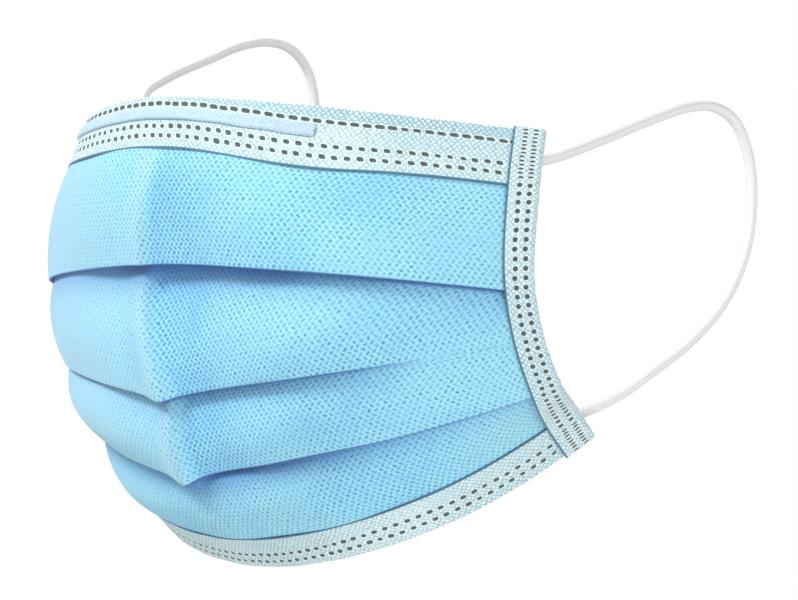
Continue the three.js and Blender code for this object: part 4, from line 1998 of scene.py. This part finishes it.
@dataclass
class Studio:
    """The camera at the photograph's angle, soft lights and a white surround."""

    azimuth: float = 46
    elevation: float = -0.2
    distance: float = 600
    lens: float = 107.2
    sensor_width: float = 36
    target: tuple[float, float, float] = (0, 79.27, -38.59)
    lit_place: tuple[float, float, float] = (0, 30, -50)
    surround: float = 0.48
    lights: tuple[SoftLight, ...] = (
        SoftLight("key", -26, 46, 900, 240, 6.3),
        SoftLight("fill", 80, 14, 1000, 800, 3.6),
        SoftLight("back", 205, 34, 1000, 700, 4.2),
        SoftLight("under", 40, -48, 1000, 900, 4.6),
    )

    @staticmethod
    def aim(
        name: str,
        data: bpy.types.ID,
        target: tuple[float, float, float],
        azimuth: float,
        elevation: float,
        distance: float,
    ) -> bpy.types.Object:
        """Stand a camera or a light round a place, and turn it to face that place.

        Args:
            name: the object's name.
            data: the camera or the light.
            target: the place in millimetres.
            azimuth: its direction round the place, in degrees.
            elevation: its height above the horizon, in degrees.
            distance: its distance in millimetres.

        Returns:
            The object.
        """
        thing = bpy.data.objects.new(name, data)
        bpy.context.scene.collection.objects.link(thing)
        a = math.radians(azimuth)
        e = math.radians(elevation)
        away = Vector((math.sin(a) * math.cos(e), -math.cos(a) * math.cos(e), math.sin(e)))
        thing.location = (Vector(target) + away * distance) * MM
        thing.rotation_mode = "QUATERNION"
        thing.rotation_quaternion = (-away).to_track_quat("-Z", "Y")
        return thing

    def place_camera(self) -> None:
        """Make the camera and choose it."""
        data = bpy.data.cameras.new("camera")
        data.lens = self.lens
        data.sensor_width = self.sensor_width
        data.clip_start = 0.01
        view = (self.azimuth, self.elevation, self.distance)
        bpy.context.scene.camera = self.aim("camera", data, self.target, *view)

    def add_light(self, light: SoftLight) -> None:
        """Add a light at its place."""
        data = bpy.data.lights.new(light.name, "AREA")
        data.shape = "SQUARE"
        data.size = light.side * MM
        data.energy = light.power
        view = (light.azimuth, light.elevation, light.distance)
        self.aim(light.name, data, self.lit_place, *view)

    def set_surround(self) -> None:
        """Make the world white to look at, and dimmer as a light, so that the lights shape."""
        world = bpy.data.worlds.new("white_surround")
        tree = empty_tree(world)
        path = add_node(tree, "ShaderNodeLightPath")
        strength = add_node(
            tree,
            "ShaderNodeMix",
            {"Factor": path.outputs["Is Camera Ray"], 2: self.surround, 3: 1.0},
            data_type="FLOAT",
        )
        background = add_node(
            tree,
            "ShaderNodeBackground",
            {"Color": (1.0, 1.0, 1.0, 1.0), "Strength": strength.outputs[0]},
        )
        add_node(tree, "ShaderNodeOutputWorld", {"Surface": background.outputs[0]})
        bpy.context.scene.world = world
        bpy.context.scene.view_settings.view_transform = "Standard"

    def build(self) -> None:
        """Set up the lights and the surround."""
        for light in self.lights:
            self.add_light(light)
        self.set_surround()


LEFT_ROUTE = (
    (65.3, 52.3, -7.4),
    (66.9, 54.5, -7.5),
    (69.3, 59.5, -6.8),
    (71, 75, -2),
    (72.5, 91, 3.5),
    (73.5, 104.5, 7.3),
    (74, 113.5, 7.6),
    (74, 121, 4.5),
    (74, 126, -3),
    (73.5, 128.3, -14),
    (72.5, 127, -26.5),
    (71.5, 120.3, -38.6),
    (70, 108.7, -48.7),
    (68, 96.3, -56),
    (66, 87.5, -61),
    (63, 78, -64.8),
    (60.4, 73, -66),
    (59.5, 70.5, -67.8),
)
RIGHT_ROUTE = (
    (-65.3, 52.3, -7.4),
    (-66.9, 54.5, -7.5),
    (-69, 57.8, -5.6),
    (-70.4, 57.2, 1.5),
    (-71.6, 53.6, 9.5),
    (-72.6, 54.8, 16.4),
    (-73.5, 63.2, 21.6),
    (-74.5, 79, 28),
    (-75, 90, 32.3),
    (-75, 100.5, 34.3),
    (-75, 109.5, 32.7),
    (-75, 115.5, 27),
    (-74.5, 117.8, 17),
    (-74, 116.5, 4),
    (-73, 112.5, -10),
    (-71.8, 106, -24),
    (-70.3, 98.5, -37),
    (-68.3, 90.5, -49),
    (-66, 83.5, -58.5),
    (-63, 77.8, -64.5),
    (-60.4, 73, -66),
    (-59.5, 70.5, -67.8),
)


def settle(piece: bpy.types.Object, node: str) -> None:
    """Let a piece stand for its node and ride on the mask."""
    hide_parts(node)
    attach(piece, ROOT)
    log.info("%s: %d faces", piece.name, len(piece.data.polygons))


def main() -> None:
    """Build the mask and its studio."""
    logging.basicConfig(level=logging.INFO, format="%(name)s: %(message)s")
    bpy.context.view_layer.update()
    studio = Studio()
    studio.place_camera()
    finishes = Finishes()
    band = finishes.band.build()
    elastic = finishes.elastic.build()
    form = WornForm()

    settle(EarCord(Side.LEFT, LEFT_ROUTE).build(elastic), "ear_loop_left")
    settle(EarCord(Side.RIGHT, RIGHT_ROUTE).build(elastic), "ear_loop_right")

    pleated = PleatedCloth(form)
    cloth = pleated.build(finishes.outer.build(), finishes.inner.build())
    settle(cloth, "pleated_body")
    width, length = pleated.cut_size()
    log.info("the cloth is cut to %.1f by %.1f mm", width, length)

    top_strip = FoldedStrip(
        reach=form.top_band_height, front_depth=0.15, fold_radius=0.6, leaf_steps=40
    )
    top_welds = (
        WeldRow(1.8, 4.15, length=2.1, seed=1),
        WeldRow(7.05, 10.45, seed=2),
        WeldRow(9.3, 13.1, seed=3),
    )
    top = EdgeBand(form, Border.TOP, top_strip, top_welds).build(band)
    settle(top, "top_binding")

    bottom_strip = FoldedStrip(
        reach=form.bottom_band_height, front_depth=0.15, fold_radius=0.6, leaf_steps=32
    )
    bottom_welds = (WeldRow(2.4, 3.3, seed=4), WeldRow(4.9, 6.0, seed=5))
    bottom = EdgeBand(form, Border.BOTTOM, bottom_strip, bottom_welds).build(band)
    settle(bottom, "bottom_binding")

    for side in Side:
        strip = FoldedStrip(
            reach=pleated.side_band_width,
            front_depth=-0.38,
            fold_radius=1.3,
            wall=0.34,
            leaf_steps=24,
            back_steps=22,
        )
        settle(
            SideBand(form, side, strip).build(band),
            f"side_binding_{side.name.lower()}",
        )
    settle(NoseWire(form).build(finishes.wire.build()), "nose_wire")

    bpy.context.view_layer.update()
    studio.build()


if __name__ == "__main__":
    main()
